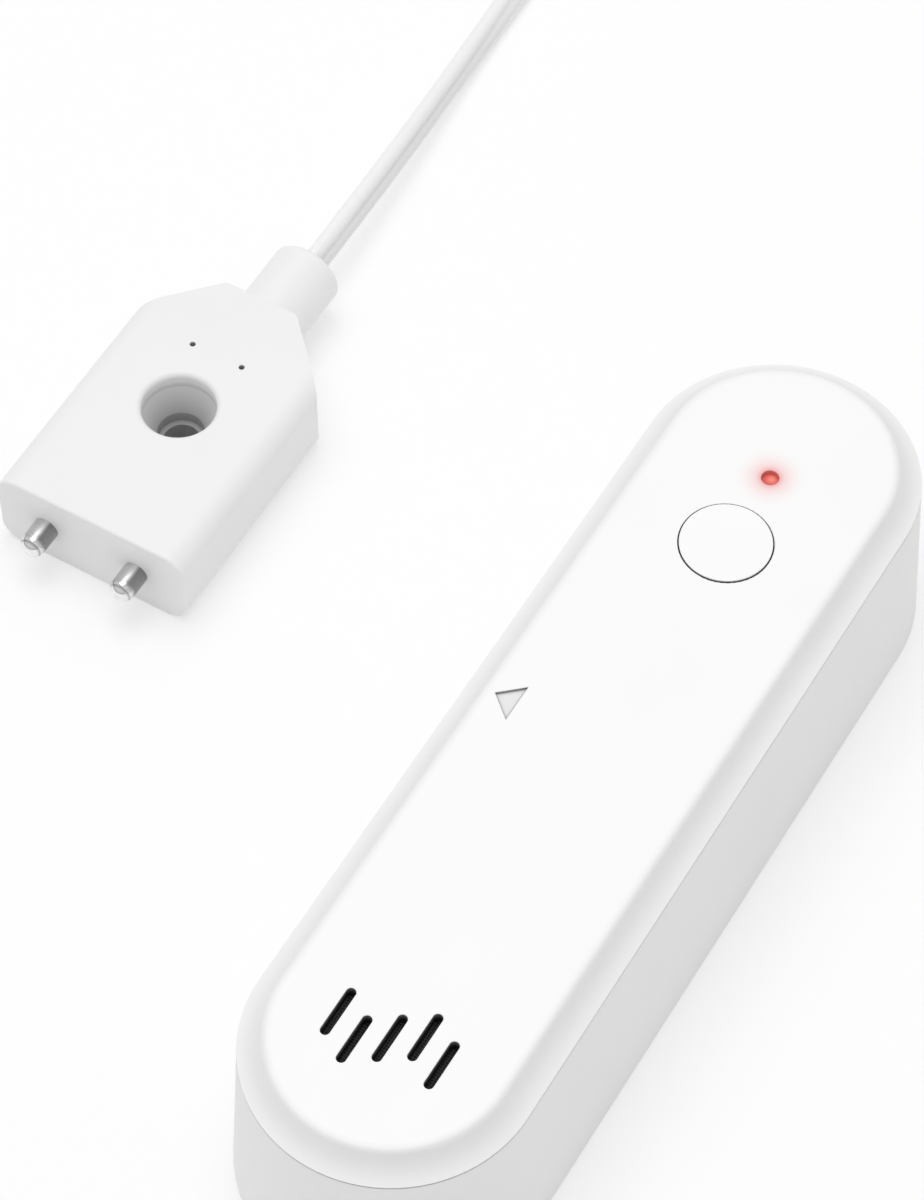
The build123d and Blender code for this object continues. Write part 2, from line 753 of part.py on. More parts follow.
def aerial_wire():
    x, start = board_place(AERIAL_X_SHARE, AERIAL_START_SHARE)
    end = board_place(AERIAL_X_SHARE, AERIAL_END_SHARE)[1]
    low = BOARD_TOP_Z
    high = BOARD_TOP_Z + AERIAL_RISE
    path = FilletPolyline(
        (x, start, low),
        (x, start, high),
        (x, end, high),
        (x, end, low),
        radius=AERIAL_BEND,
    )
    return sweep(Plane(path @ 0, z_dir=path % 0) * Circle(AERIAL_R), path=path)


def socket_front():
    """X of the socket nose, set back in the sloping wall."""
    return -wall_r(SOCKET_Z) + FIT


def socket_body():
    front = -BASE_IN_R + BOARD_GAP
    half = SOCKET_W / 2
    top = BOARD_TOP_Z + SOCKET_H
    body = block(front, front + SOCKET_LENGTH, SOCKET_Y - half, SOCKET_Y + half, BOARD_TOP_Z, top)
    body += rod_x(SOCKET_NOSE_R, socket_front(), front, SOCKET_Y, SOCKET_Z)
    reach = socket_front() + JACK_LENGTH + FIT
    body -= rod_x(JACK_R + JACK_FIT, socket_front() - CUT, reach, SOCKET_Y, SOCKET_Z)
    wide = SOCKET_CHAMBER_W / 2
    chamber_end = front + SOCKET_LENGTH - FIT * 2
    chamber = block(
        chamber_end - SOCKET_CHAMBER_LENGTH,
        chamber_end,
        SOCKET_Y - wide,
        SOCKET_Y + wide,
        SOCKET_Z - wide,
        SOCKET_Z + wide,
    )
    return body - chamber


def socket_contacts():
    front = -BASE_IN_R + BOARD_GAP
    wide = SOCKET_CHAMBER_W / 2
    end = front + SOCKET_LENGTH - FIT * 2
    start = end - SOCKET_CHAMBER_LENGTH
    leaves = []
    for side in (-1, 1):
        outer = SOCKET_Z + side * wide
        inner = outer - side * SOCKET_LEAF_T
        low = min(outer, inner)
        high = max(outer, inner)
        leaves.append(block(start, end, SOCKET_Y - JACK_R, SOCKET_Y + JACK_R, low, high))
    return leaves


# Cells, contacts and door


def cell(x, plus):
    """One AAA cell, with its nub towards plus, +1 or -1 along Y."""
    nub_end = plus * (BAY_Y - PLUS_SPACE)
    can_end = nub_end - plus * NUB_LENGTH
    flat_end = can_end - plus * CELL_LENGTH
    can = rod_y(CELL_R, min(can_end, flat_end), max(can_end, flat_end), x, CELL_Z)
    nub = rod_y(NUB_R, min(nub_end, can_end), max(nub_end, can_end), x, CELL_Z)
    return can + nub


def plus_contact(x, side):
    """Plate and dimple on the end wall where a nub sits."""
    wall = side * BAY_Y
    face = wall - side * CONTACT_T
    tip = side * (BAY_Y - PLUS_SPACE + CONTACT_TOUCH)
    half = CONTACT_W / 2
    low = CELL_Z - CONTACT_H / 2
    high = CELL_Z + CONTACT_H / 2
    plate = block(x - half, x + half, min(wall, face), max(wall, face), low, high)
    dimple = rod_y(DIMPLE_R, min(tip, face), max(tip, face), x, CELL_Z)
    tail = contact_tail(x, side)
    return plate + dimple + tail


def contact_tail(x, side):
    """Strip that rises from a contact to the underside of the board."""
    wall = side * BAY_Y
    face = wall - side * CONTACT_T
    half = TAIL_W / 2
    return block(x - half, x + half, min(wall, face), max(wall, face), CELL_Z, BOARD_Z)


def minus_contact(x, side):
    """Plate with a bowed leaf that presses on the flat end of a cell."""
    wall = side * BAY_Y
    face = wall - side * CONTACT_T
    half = CONTACT_W / 2
    low = CELL_Z - CONTACT_H / 2
    high = CELL_Z + CONTACT_H / 2
    plate = block(x - half, x + half, min(wall, face), max(wall, face), low, high)
    crest = side * (BAY_Y - MINUS_SPACE + CONTACT_TOUCH)
    reach = LEAF_H / 2
    outer = ThreePointArc((face, CELL_Z - reach), (crest, CELL_Z), (face, CELL_Z + reach))
    inner_reach = reach - CONTACT_T
    inner = ThreePointArc(
        (face, CELL_Z + inner_reach), (crest + side * CONTACT_T, CELL_Z), (face, CELL_Z - inner_reach)
    )
    ends = [
        Line((face, CELL_Z + reach), (face, CELL_Z + inner_reach)),
        Line((face, CELL_Z - inner_reach), (face, CELL_Z - reach)),
    ]
    leaf_face = Plane.YZ * make_face([outer.edge(), inner.edge()] + [line.edge() for line in ends])
    leaf = extrude(Pos(x - LEAF_W / 2, 0, 0) * leaf_face, LEAF_W, dir=(1, 0, 0))
    return plate + leaf + contact_tail(x, side)


def link_contact():
    """Strip that joins the two cells in series at the near end."""
    bridge_low = CELL_Z - TAIL_W
    bridge = block(-CELL_X, CELL_X, -BAY_Y, -BAY_Y + CONTACT_T, bridge_low, CELL_Z + TAIL_W)
    return plus_contact(CELL_X, -1) + minus_contact(-CELL_X, -1) + bridge


def battery_door():
    plate = block(-DOOR_X, DOOR_X, HINGE_Y, DOOR_Y, DOOR_Z, DOOR_Z + DOOR_T)
    door = plate + rod_x(DOOR_T / 2, -DOOR_X, DOOR_X, HINGE_Y, HINGE_Z)
    door += rod_x(PEG_R, -DOOR_X - PEG_LENGTH, DOOR_X + PEG_LENGTH, HINGE_Y, HINGE_Z)
    rib_top = FLOOR_T + CELL_LIFT - FIT
    half = DOOR_RIB_LENGTH / 2
    for x in (-CELL_X, CELL_X):
        rib_x = DOOR_RIB_W / 2
        door += block(x - rib_x, x + rib_x, -half, half, DOOR_Z, rib_top)
    notch = disc(NOTCH_R, -CUT, DOOR_Z + DOOR_T / 2, 0, DOOR_Y + NOTCH_R - NOTCH_W)
    return door - notch


# Probe


def probe_plan(inset):
    """Plan of the probe block, drawn in from its outline."""
    half = PROBE_W / 2 - inset
    front = PROBE_FRONT_Y + inset
    back = PROBE_BACK_Y - inset
    slant = math.hypot(PROBE_W / 2 - PROBE_BACK_W / 2, PROBE_CUT_LENGTH)
    cos_cut = PROBE_CUT_LENGTH / slant
    sin_cut = (PROBE_W / 2 - PROBE_BACK_W / 2) / slant
    turn_side = inset * (1 - cos_cut) / sin_cut
    turn_back = inset * (1 - sin_cut) / cos_cut
    side_y = PROBE_BACK_Y - PROBE_CUT_LENGTH - turn_side
    back_x = PROBE_BACK_W / 2 - turn_back
    points = [
        (PROBE_X - half, front),
        (PROBE_X + half, front),
        (PROBE_X + half, side_y),
        (PROBE_X + back_x, back),
        (PROBE_X - back_x, back),
        (PROBE_X - half, side_y),
        (PROBE_X - half, front),
    ]
    return make_face(Polyline(*points))


def probe_outer():
    """Rounded bar along Y, cut to the plan."""
    bar_face = Plane.XZ * RectangleRounded(PROBE_W, PROBE_H, PROBE_ROUND)
    bar = extrude(Pos(PROBE_X, PROBE_FRONT_Y, PROBE_MID_Z) * bar_face, PROBE_LENGTH, dir=(0, 1, 0))
    plan = extrude(Pos(0, 0, -CUT) * probe_plan(0), PROBE_H + 2 * CUT)
    cut_edges = plan.edges().filter_by(Axis.Z).sort_by(Axis.Y)[2:]
    plan = fillet(cut_edges, PROBE_CORNER_ROUND)
    return bar & plan


def probe_body():
    body = probe_outer()
    ends = body.edges().filter_by_position(Axis.Y, PROBE_FRONT_Y - EDGE / 2, PROBE_FRONT_Y + EDGE / 2)
    body = fillet(ends, PROBE_EDGE)
    cavity = extrude(
        Pos(0, 0, PROBE_PLATE_LIFT + PROBE_PLATE_T) * probe_plan(PROBE_WALL),
        PROBE_H - PROBE_ROOF - PROBE_PLATE_LIFT - PROBE_PLATE_T,
    )
    mouth_depth = PROBE_PLATE_LIFT + PROBE_PLATE_T
    mouth = extrude(Pos(0, 0, -CUT) * probe_plan(PROBE_WALL - PROBE_LEDGE), mouth_depth + CUT)
    boss = disc(HOLE_BOSS_R, -2 * CUT, PROBE_H, PROBE_X, HOLE_Y)
    body -= (cavity + mouth) - boss
    body -= screw_hole()
    for side in (-1, 1):
        x = PROBE_X + side * WITNESS_SPACING / 2
        body -= disc(WITNESS_R, PROBE_H - WITNESS_DEPTH, PROBE_H + CUT, x, WITNESS_Y)
        pin_x = PROBE_X + side * PIN_SPACING / 2
        body -= rod_y(PIN_R, PROBE_FRONT_Y - CUT, PROBE_FRONT_Y + PROBE_WALL + CUT, pin_x, PROBE_MID_Z)
    neck = rod_y(COLLAR_NECK_R, PROBE_BACK_Y - PROBE_WALL - CUT, PROBE_BACK_Y + CUT, PROBE_X, PROBE_MID_Z)
    return body - neck


def screw_hole():
    """Counterbored and countersunk hole with a rounded rim, as one cutting tool."""
    cone_top = PROBE_H - HOLE_TOP_DEPTH
    cone_low = cone_top - HOLE_CONE_DEPTH
    mid_low = cone_low - HOLE_MID_DEPTH
    rim = (HOLE_TOP_R + HOLE_EDGE, PROBE_H - HOLE_EDGE)
    outline = [
        CenterArc(rim, HOLE_EDGE, 90, 90),
        Polyline(
            (HOLE_TOP_R, PROBE_H - HOLE_EDGE),
            (HOLE_TOP_R, cone_top),
            (HOLE_MID_R, cone_low),
            (HOLE_MID_R, mid_low),
            (HOLE_R, mid_low),
            (HOLE_R, -CUT),
            (0, -CUT),
            (0, PROBE_H + CUT),
            (HOLE_TOP_R + HOLE_EDGE, PROBE_H + CUT),
            (HOLE_TOP_R + HOLE_EDGE, PROBE_H),
        ),
    ]
    face = make_face([edge for piece in outline for edge in piece.edges()])
    tool = revolve(Plane.XZ * face, Axis.Z)
    return Pos(PROBE_X, HOLE_Y, 0) * tool


def probe_base_cover():
    plan = probe_plan(PROBE_WALL - PROBE_LEDGE + SNUG)
    plate = extrude(Pos(0, 0, PROBE_PLATE_LIFT) * plan, PROBE_PLATE_T)
    return plate - disc(HOLE_BOSS_R + SNUG, -CUT, PROBE_H, PROBE_X, HOLE_Y)


def sensing_pins():
    pins = []
    for side in (-1, 1):
        x = PROBE_X + side * PIN_SPACING / 2
        shaft = rod_y(PIN_R, PIN_TIP_Y + PIN_R, PIN_BACK_Y, x, PROBE_MID_Z)
        pins.append(shaft + Pos(x, PIN_TIP_Y + PIN_R, PROBE_MID_Z) * Sphere(PIN_R))
    return pins


def pin_crimps():
    crimps = []
    for side in (-1, 1):
        x = PROBE_X + side * PIN_SPACING / 2
        crimps.append(rod_y(CRIMP_R, PIN_BACK_Y, PIN_BACK_Y + CRIMP_LENGTH, x, PROBE_MID_Z))
    return crimps


def inner_leads():
    leads = []
    start_y = PIN_BACK_Y + CRIMP_LENGTH
    past_boss = HOLE_BOSS_R + LEAD_R + 2 * FIT
    for side in (-1, 1):
        offsets = [
            (PIN_SPACING / 2, start_y),
            (PIN_SPACING / 2, start_y + 2 * LEAD_R),
            (past_boss + FIT, HOLE_Y),
            (past_boss, HOLE_Y + HOLE_BOSS_R),
            (CORE_SPACING, COLLAR_BACK_Y - 2 * LEAD_R),
            (CORE_SPACING, COLLAR_BACK_Y),
        ]
        points = [(PROBE_X + side * x, y, PROBE_MID_Z) for x, y in offsets]
        path = FilletPolyline(*points, radius=LEAD_R)
        leads.append(sweep(Plane(path @ 0, z_dir=path % 0) * Circle(LEAD_R), path=path))
    return leads


def strain_relief_collar():
    collar = rod_y(COLLAR_R, PROBE_BACK_Y, COLLAR_END_Y, PROBE_X, PROBE_MID_Z)
    rim = collar.edges().filter_by_position(Axis.Y, COLLAR_END_Y - EDGE, COLLAR_END_Y + EDGE)
    rim = [edge for edge in rim if edge.geom_type == GeomType.CIRCLE]
    collar = fillet(rim, COLLAR_ROUND)
    collar += rod_y(COLLAR_NECK_R, PROBE_BACK_Y - PROBE_WALL, PROBE_BACK_Y, PROBE_X, PROBE_MID_Z)
    back = PROBE_BACK_Y - PROBE_WALL
    return collar + rod_y(COLLAR_FLANGE_R, COLLAR_BACK_Y, back, PROBE_X, PROBE_MID_Z)


# Lead, coil, tie and plug


def lead_section():
    """Two round cores side by side, as one moulded section, wide along local X."""
    left = Pos(-CORE_SPACING / 2, 0) * Circle(CORE_R)
    return left + Pos(CORE_SPACING / 2, 0) * Circle(CORE_R)


def lead_along(path):
    """The flat lead swept along a path. A line above the path keeps it lying flat."""
    line = Wire(path.edges())
    heading = line % 0
    across = Vector(0, 0, 1).cross(heading).normalized()
    plane = Plane(line @ 0, x_dir=across, z_dir=heading)
    above = Wire((Pos(0, 0, CORD_W) * line).edges())
    return sweep(plane * lead_section(), path=line, binormal=above)


def corner_radii(points):
    """Arc at each corner, as large as the shorter of its two runs allows."""
    radii = []
    for before, here, after in zip(points, points[1:], points[2:]):
        run_in = Vector(here) - Vector(before)
        run_out = Vector(after) - Vector(here)
        turn = math.radians(run_in.get_angle(run_out))
        shorter = min(run_in.length, run_out.length)
        radii.append(CORNER_SHARE * shorter / math.tan(turn / 2))
    return radii


def cord_path():
    radii = corner_radii(CORD_ROUTE)
    print("cord corner radii", [round(radius, 1) for radius in radii])
    return FilletPolyline(*CORD_ROUTE, radius=radii)


def half_turn(start_x, end_x, z, heading):
    """Half circle about a point on the coil's X axis, from one crossing of it to the next."""
    centre_x = (start_x + end_x) / 2
    radius = abs(start_x - end_x) / 2
    cx, cy = COIL_CENTRE
    return ThreePointArc(
        (cx + start_x, cy, z), (cx + centre_x, cy + heading * radius, z), (cx + end_x, cy, z)
    )


def coil_edges():
    """One unbroken line: in on the low layer, up at the inside, out on the high layer."""
    cx, cy = COIL_CENTRE
    step = COIL_PITCH / 2
    reach = COIL_OUTER_R
    sign = -1
    edges = [Line((cx - reach, cy - CORD_W, COIL_LOW_Z), (cx - reach, cy, COIL_LOW_Z))]
    for _ in range(COIL_HALF_TURNS_IN):
        edges.append(half_turn(sign * reach, -sign * (reach - step), COIL_LOW_Z, -sign))
        reach -= step
        sign = -sign
    # The climb goes on inwards, and the first half turn above it steps out past it
    rise = (COIL_HIGH_Z - COIL_LOW_Z) / 2
    shift = sign * step / 2
    side = math.hypot(reach - step / 2, rise)
    middle = (cx + shift, cy - sign * side, COIL_LOW_Z + rise)
    first = TangentArc((cx + sign * reach, cy, COIL_LOW_Z), middle, tangent=(0, -sign, 0))
    reach -= step
    second = TangentArc(middle, (cx - sign * reach, cy, COIL_HIGH_Z), tangent=first % 1)
    edges += [first, second]
    sign = -sign
    for index in range(COIL_HALF_TURNS_OUT):
        wider = 2 * step if index == 0 else step
        edges.append(half_turn(sign * reach, -sign * (reach + wider), COIL_HIGH_Z, -sign))
        reach += wider
        sign = -sign
    # A last quarter turn leads off along +X at the far side
    top = (cx + step / 2, cy + reach + step / 2, COIL_HIGH_Z)
    edges.append(TangentArc((cx + sign * reach, cy, COIL_HIGH_Z), top, tangent=(0, 1, 0)))
    edges.append(Line(top, coil_exit()))
    return edges


def coil_exit():
    """Where the coil's end meets the tail."""
    cx, cy = COIL_CENTRE
    step = COIL_PITCH / 2
    steps_in = COIL_HALF_TURNS_IN - COIL_HALF_TURNS_OUT
    reach = COIL_OUTER_R - steps_in * step
    return cx + step / 2 + CORD_W, cy + reach + step / 2, COIL_HIGH_Z


def least_gap(edges):
    """Least gap of the coil to itself, core to core, on points along its line."""
    cores = []
    walked = 0.0
    for edge in edges:
        count = max(2, int(edge.length / CORE_R))
        for index in range(count):
            share = index / count
            across = Vector(0, 0, 1).cross(edge % share).normalized() * (CORE_SPACING / 2)
            for side in (-1, 1):
                place = edge @ share + across * side
                cores.append((walked + share * edge.length, place.X, place.Y, place.Z))
        walked += edge.length
    least = math.inf
    for index, (along, x, y, z) in enumerate(cores):
        for other_along, other_x, other_y, other_z in cores[index + 1 :]:
            if other_along - along > 4 * CORD_W:
                apart = math.dist((x, y, z), (other_x, other_y, other_z))
                least = min(least, apart - 2 * CORE_R)
    return least


def cord_coil():
    edges = coil_edges()
    print("coil length", round(sum(edge.length for edge in edges), 1))
    print("coil least gap to itself", round(least_gap(edges), 2))
    return lead_along(Wire([edge.edge() for edge in edges]))


def coil_tie():
    """Band round all the turns, on the near side of the coil."""
    cx, cy = COIL_CENTRE
    step = COIL_PITCH / 2
    inner_r = COIL_OUTER_R - COIL_HALF_TURNS_IN * step - CORD_W / 2
    outer_r = COIL_OUTER_R - 3 * step / 2 + CORD_W / 2
    gap = TIE_GAP + FIT
    low = COIL_LOW_Z - CORE_R - TIE_GAP
    high = COIL_HIGH_Z + CORE_R + TIE_GAP
    sag = inner_r - math.sqrt(inner_r**2 - (TIE_W / 2 + step) ** 2)
    y_low = cy - outer_r - gap
    y_high = cy - inner_r + gap + sag
    half = TIE_W / 2
    band = block(cx - half, cx + half, y_low - TIE_T, y_high + TIE_T, low - TIE_T, high + TIE_T)
    band = fillet(band.edges().filter_by(Axis.X), TIE_T)
    return band - block(cx - half - CUT, cx + half + CUT, y_low, y_high, low, high)


def cord_tail():
    return lead_along(Line(coil_exit(), plug_start()))


def plug_start():
    x, y, z = coil_exit()
    return x + TAIL_LENGTH - CORD_W, y, z


def plug_handle():
    profile = Polyline(
        (0, 0),
        (RELIEF_END_R, 0),
        (RELIEF_R, RELIEF_LENGTH),
        (HANDLE_R - HANDLE_ROUND, RELIEF_LENGTH),
        (HANDLE_R, RELIEF_LENGTH + HANDLE_ROUND),
        (HANDLE_R, RELIEF_LENGTH + HANDLE_LENGTH - HANDLE_ROUND),
        (HANDLE_R - HANDLE_ROUND, RELIEF_LENGTH + HANDLE_LENGTH),
        (0, RELIEF_LENGTH + HANDLE_LENGTH),
        (0, 0),
    )
    return plug_place() * revolve(Plane.XZ * make_face(profile), Axis.Z)


def plug_place():
    """Turns a piece drawn up Z from zero so that it points out of the handle along +X."""
    return Pos(*plug_start()) * Rot(0, 90, 0)


def plug_sleeve():
    low = RELIEF_LENGTH + HANDLE_LENGTH
    return plug_place() * disc(JACK_R, low, low + JACK_LENGTH - TIP_LENGTH - RING_LENGTH)


def plug_ring():
    high = RELIEF_LENGTH + HANDLE_LENGTH + JACK_LENGTH - TIP_LENGTH
    return plug_place() * disc(JACK_R, high - RING_LENGTH, high)


def plug_tip():
    low = RELIEF_LENGTH + HANDLE_LENGTH + JACK_LENGTH - TIP_LENGTH
    profile = Polyline(
        (0, low),
        (JACK_R, low),
        (TIP_NECK_R, low + TIP_LENGTH / 3),
        (JACK_R, low + TIP_LENGTH * 2 / 3),
        (TIP_NECK_R, low + TIP_LENGTH - EDGE),
        (0, low + TIP_LENGTH),
        (0, low),
    )
    return plug_place() * revolve(Plane.XZ * make_face(profile), Axis.Z)


NODES = {
    "base_shell": base_shell,
    "top_cover": top_cover,
    "cover_seal": cover_seal,
    "case_screws": case_screws,
    "push_button": push_button,
    "switch_body": switch_body,
    "switch_plunger": switch_plunger,
    "status_led": status_led,
    "light_guide": light_guide,
    "sounder_case": sounder_case,
    "sounder_plate": sounder_plate,
    "sounder_ceramic": sounder_ceramic,
    "sounder_foam": sounder_foam,
    "sound_mesh": sound_mesh,
    "circuit_board": circuit_board,
    "board_screws": board_screws,
    "radio_module": radio_module,
    "radio_shield": radio_shield,
    "processor_chip": processor_chip,
    "sounder_coil_core": sounder_coil,
    "sounder_coil_winding": coil_winding,
    "capacitors": capacitors,
    "small_chips": small_chips,
    "aerial_wire": aerial_wire,
    "socket_body": socket_body,
    "socket_contacts": socket_contacts,
    "battery_left": lambda: cell(-CELL_X, 1),
    "battery_right": lambda: cell(CELL_X, -1),
    "battery_plus_contact": lambda: plus_contact(-CELL_X, 1),
    "battery_minus_contact": lambda: minus_contact(CELL_X, 1),
    "battery_link_contact": link_contact,
    "battery_door": battery_door,
    "probe_body": probe_body,
    "probe_base_cover": probe_base_cover,
    "sensing_pins": sensing_pins,
    "pin_crimps": pin_crimps,
    "inner_leads": inner_leads,
    "strain_relief_collar": strain_relief_collar,
    "probe_cord": lambda: lead_along(cord_path()),
    "cord_coil": cord_coil,
    "cord_tail": cord_tail,
    "coil_tie": coil_tie,
    "plug_handle": plug_handle,
    "plug_sleeve": plug_sleeve,
    "plug_ring": plug_ring,
    "plug_tip": plug_tip,
}


def solids_of(shape):
    """All solids of a shape or a list of shapes."""
    shapes = shape if isinstance(shape, list) else [shape]
    return [solid for piece in shapes for solid in piece.solids()]


def write_parts():
    for name, make in NODES.items():
        solids = solids_of(make())
        whole = solids[0] if len(solids) == 1 else Compound(children=solids)
        export_step(whole, f"parts/{name}.step")
        print(name, len(solids), round(sum(solid.volume for solid in solids), 2))


write_parts()
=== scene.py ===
import bpy
import math
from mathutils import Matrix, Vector


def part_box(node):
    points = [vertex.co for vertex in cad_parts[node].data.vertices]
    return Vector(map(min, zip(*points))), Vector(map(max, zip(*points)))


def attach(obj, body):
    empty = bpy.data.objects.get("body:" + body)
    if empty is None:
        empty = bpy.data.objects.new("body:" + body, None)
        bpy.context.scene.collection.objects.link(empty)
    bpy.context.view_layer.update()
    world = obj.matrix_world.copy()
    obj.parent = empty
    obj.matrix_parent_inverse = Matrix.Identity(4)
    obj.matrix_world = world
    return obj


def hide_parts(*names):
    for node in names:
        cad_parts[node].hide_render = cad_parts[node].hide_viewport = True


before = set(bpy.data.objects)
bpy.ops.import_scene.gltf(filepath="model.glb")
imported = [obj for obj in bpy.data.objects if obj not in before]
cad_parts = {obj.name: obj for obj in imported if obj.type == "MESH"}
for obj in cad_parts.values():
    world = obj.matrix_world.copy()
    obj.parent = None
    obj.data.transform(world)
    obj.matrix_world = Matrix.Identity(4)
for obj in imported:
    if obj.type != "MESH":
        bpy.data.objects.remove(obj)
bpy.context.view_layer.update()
MAIN = "main_unit_and_probe"
MM = 0.001

# Camera of the photograph
CAMERA_AT = (0.12765, -0.24761, 0.45991)
CAMERA_TARGET = (-0.0288, 0.01838, 0.01225)
CAMERA_LENS = 131.58
CAMERA_SENSOR = 36.0
CAMERA_NEAR = 0.01
CAMERA_FAR = 20.0

# Studio: the share of plain white that the floor shows to the eye, and the sky's tone by its height
FLOOR_REACH = 3.0
FLOOR_BELOW = 0.02 * MM  # clear of the undersides that rest on it
FLOOR_TONE = 0.96
FLOOR_GLOW_SHARE = 0.5
SKY_SHARES = ((0.0, 0.50), (0.3, 0.84), (1.0, 1.0))
SKY_STRENGTH = 0.78
LAMP_AT = (-0.22, 0.12, 1.2)
LAMP_SIZE = 0.8
LAMP_POWER = 5.2

# Lead: the route of part.py, in metres
CORE_R = 1.0 * MM
CORE_SPACING = 1.8 * MM
CORE_STEPS = 14
LEAD_WAIST = math.radians(40)
LINE_STEPS = 6
ROUTE = (
    (-0.0753, 0.0573, 0.00625),
    (-0.0753, 0.0670, 0.00625),
    (-0.0762, 0.0840, 0.0046),
    (-0.0780, 0.1060, 0.00195),
    (-0.0790, 0.1300, 0.0012),
    (-0.0806, 0.1500, 0.0013),
    (-0.0797, 0.1660, 0.00165),
    (-0.0797, 0.1782, 0.00165),
)
ROLL = math.radians(62)  # the flat lead leaves the collar nearly on edge, and lies flat further on
ROLL_FROM_Y = 98 * MM
ROLL_TO_Y = 140 * MM
# Painted shade along one core of the lead: the attribute's name, the outline points it covers, and its
# grey
SHADE_STRIPE = "shade_stripe"
SHADE_STRIPE_FROM = 15
SHADE_STRIPE_TO = 18
SHADE_STRIPE_GREY = 0.76
COIL_X = -0.0504
COIL_Y = 0.182
COIL_R = 29.3 * MM
COIL_STEP = 2.2 * MM
COIL_LOW_Z = 1.65 * MM
COIL_HIGH_Z = 4.35 * MM
COIL_HALF_TURNS_IN = 6
COIL_HALF_TURNS_OUT = 5
POINTS_PER_HALF_TURN = 8
PLUG_X = -29.3 * MM
TAIL_SHARES = (0.12, 0.4, 0.7, 1.0)

# Places on the cover, read from the frame where a node marks them
COVER_R, COVER_REACH, TOP_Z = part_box("top_cover")[1]
COVER_HALF_STRAIGHT = COVER_REACH - COVER_R
SUNK_FROM = 0.12 * MM
SUNK_SOFT = 0.08 * MM
# Painted shade down in the cove round the plateau: where it starts and ends across, and its shares of
# white
COVE_FROM = 13.6 * MM
COVE_TO = 17.6 * MM
COVE_SHADES = ((0.0, 1.0), (0.25, 0.90), (0.5, 0.90), (1.0, 0.97))
# Painted shade in the gap under the cover's rim: its drop below the top, soft edge and grey
SEAM_DROP = 3.12 * MM
SEAM_SOFT = 0.07 * MM
SEAM_SHADE = 0.22
LIGHT_LOW, LIGHT_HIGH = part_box("light_guide")
LIGHT_Y = (LIGHT_LOW[1] + LIGHT_HIGH[1]) / 2
LIGHT_R = 1.1 * MM
# Painted red glow of the status light down the side of its hole
LIGHT_HOLE_GLOW_RED = (0.74, 0.27, 0.23)
GUIDE_MIDDLE = (0.1 * MM, LIGHT_Y + 0.3 * MM)
GUIDE_REDS = ((0.0, (0.62, 0.19, 0.13)), (0.5, (0.55, 0.11, 0.09)), (1.0, (0.46, 0.07, 0.06)))
LED_REDS = ((0.2, (0.62, 0.04, 0.03)), (0.8, (0.78, 0.08, 0.06)))
SLOTS_HALF_W = 8.0 * MM
SLOTS_MIDDLE_Y = -46.52 * MM
SLOTS_HALF_L = 5.8 * MM
SLOTS_SOFT = 0.2 * MM
# Painted shade in the slots: black from this depth down, lighter grey near the top
SLOTS_BLACK_AT = 1.2 * MM
SLOTS_SHADES = ((0.0, 0.02), (1.0, 0.20))
BUTTON_Y = 32.2 * MM
BUTTON_R = 5.7 * MM
BUTTON_SIDE_W = 0.04 * MM
BUTTON_SIDE_TOP = 0.02 * MM
# Painted shade down the button's side, in the gap round it
BUTTON_SIDE_SHADE = 0.25
# Painted shade down the side of the button's hole: its reach, soft edge and grey
BUTTON_HOLE_R = 5.9 * MM
BUTTON_HOLE_SOFT = 0.2 * MM
BUTTON_HOLE_SHADE = 0.30
MARK_SINK = 0.4 * MM
MARK_PAST = 0.16 * MM  # how far its paint reaches past the outline
MARK_EDGE = 0.02 * MM
MARK_EDGE_W = 0.5 * MM
MARK_CORNERS = (
    (-10.14 * MM, -3.20 * MM),
    (-10.14 * MM, 2.08 * MM),
    (-13.14 * MM, -0.56 * MM),
)
# Painted shade in the sunk mark: grey down its sides, and on its floor darkest along its edges
MARK_SIDE_SHADE = 0.30
MARK_FLOOR_SHADES = ((0.0, 0.42), (0.5, 0.74), (1.0, 0.80))

# Glow round the status light, from its middle to its reach
WHITE = (0.93, 0.93, 0.93)
GLOW_REACH = 6 * MM
GLOW_FADE_FROM = 0.66
GLOW_FADE_TO = 0.80
GLOW_SHARES = (
    (0.18, (0.86, 0.42, 0.42)),
    (0.24, (0.88, 0.57, 0.57)),
    (0.30, (0.915, 0.70, 0.70)),
    (0.40, (0.92, 0.79, 0.785)),
    (0.52, (0.925, 0.87, 0.865)),
    (0.66, (0.93, 0.915, 0.91)),
    (0.80, WHITE),
)

# Places on the probe
PROBE_TOP_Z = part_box("probe_body")[1][2]
PROBE_WHITE = 0.86
PIN_R = 1.7 * MM
PIN_DOME_END = 1.2 * MM
PIN_SHAFT_START = 1.9 * MM
# Painted light and shade across each shaft: lighter on its -x side, darker on its +x side
PIN_SHAFT_LIGHT_AND_SHADE = ((0.0, 0.62), (0.62, 0.74), (0.74, 0.28), (1.0, 0.36))
# Painted reflections along each dome, from its tip back: light, a dark ring, then light again
PIN_DOME_REFLECTIONS = ((0.0, 0.92), (0.35, 0.88), (0.5, 0.40), (0.6, 0.86), (0.9, 0.66))
HOLE_X = -75.3 * MM
HOLE_Y = 26.0 * MM
HOLE_TOP_R = 5.65 * MM
HOLE_SOFT = 0.3 * MM
HOLE_DEPTH = 9 * MM
# Painted shade down the screw hole by depth, with painted light on its wall just below the top
HOLE_LIGHT_AND_SHADE = ((0.0, 0.30), (0.4, 0.48), (0.75, 0.70), (0.86, 0.98), (1.0, PROBE_WHITE))
WITNESS_Y = 35.2 * MM  # the two tiny holes behind the screw hole
WITNESS_SPACING = 7.45 * MM
WITNESS_R = 0.6 * MM
WITNESS_FROM = 0.3 * MM
WITNESS_SOFT = 0.2 * MM
# Painted shade in the two tiny holes
WITNESS_SHADE = 0.42

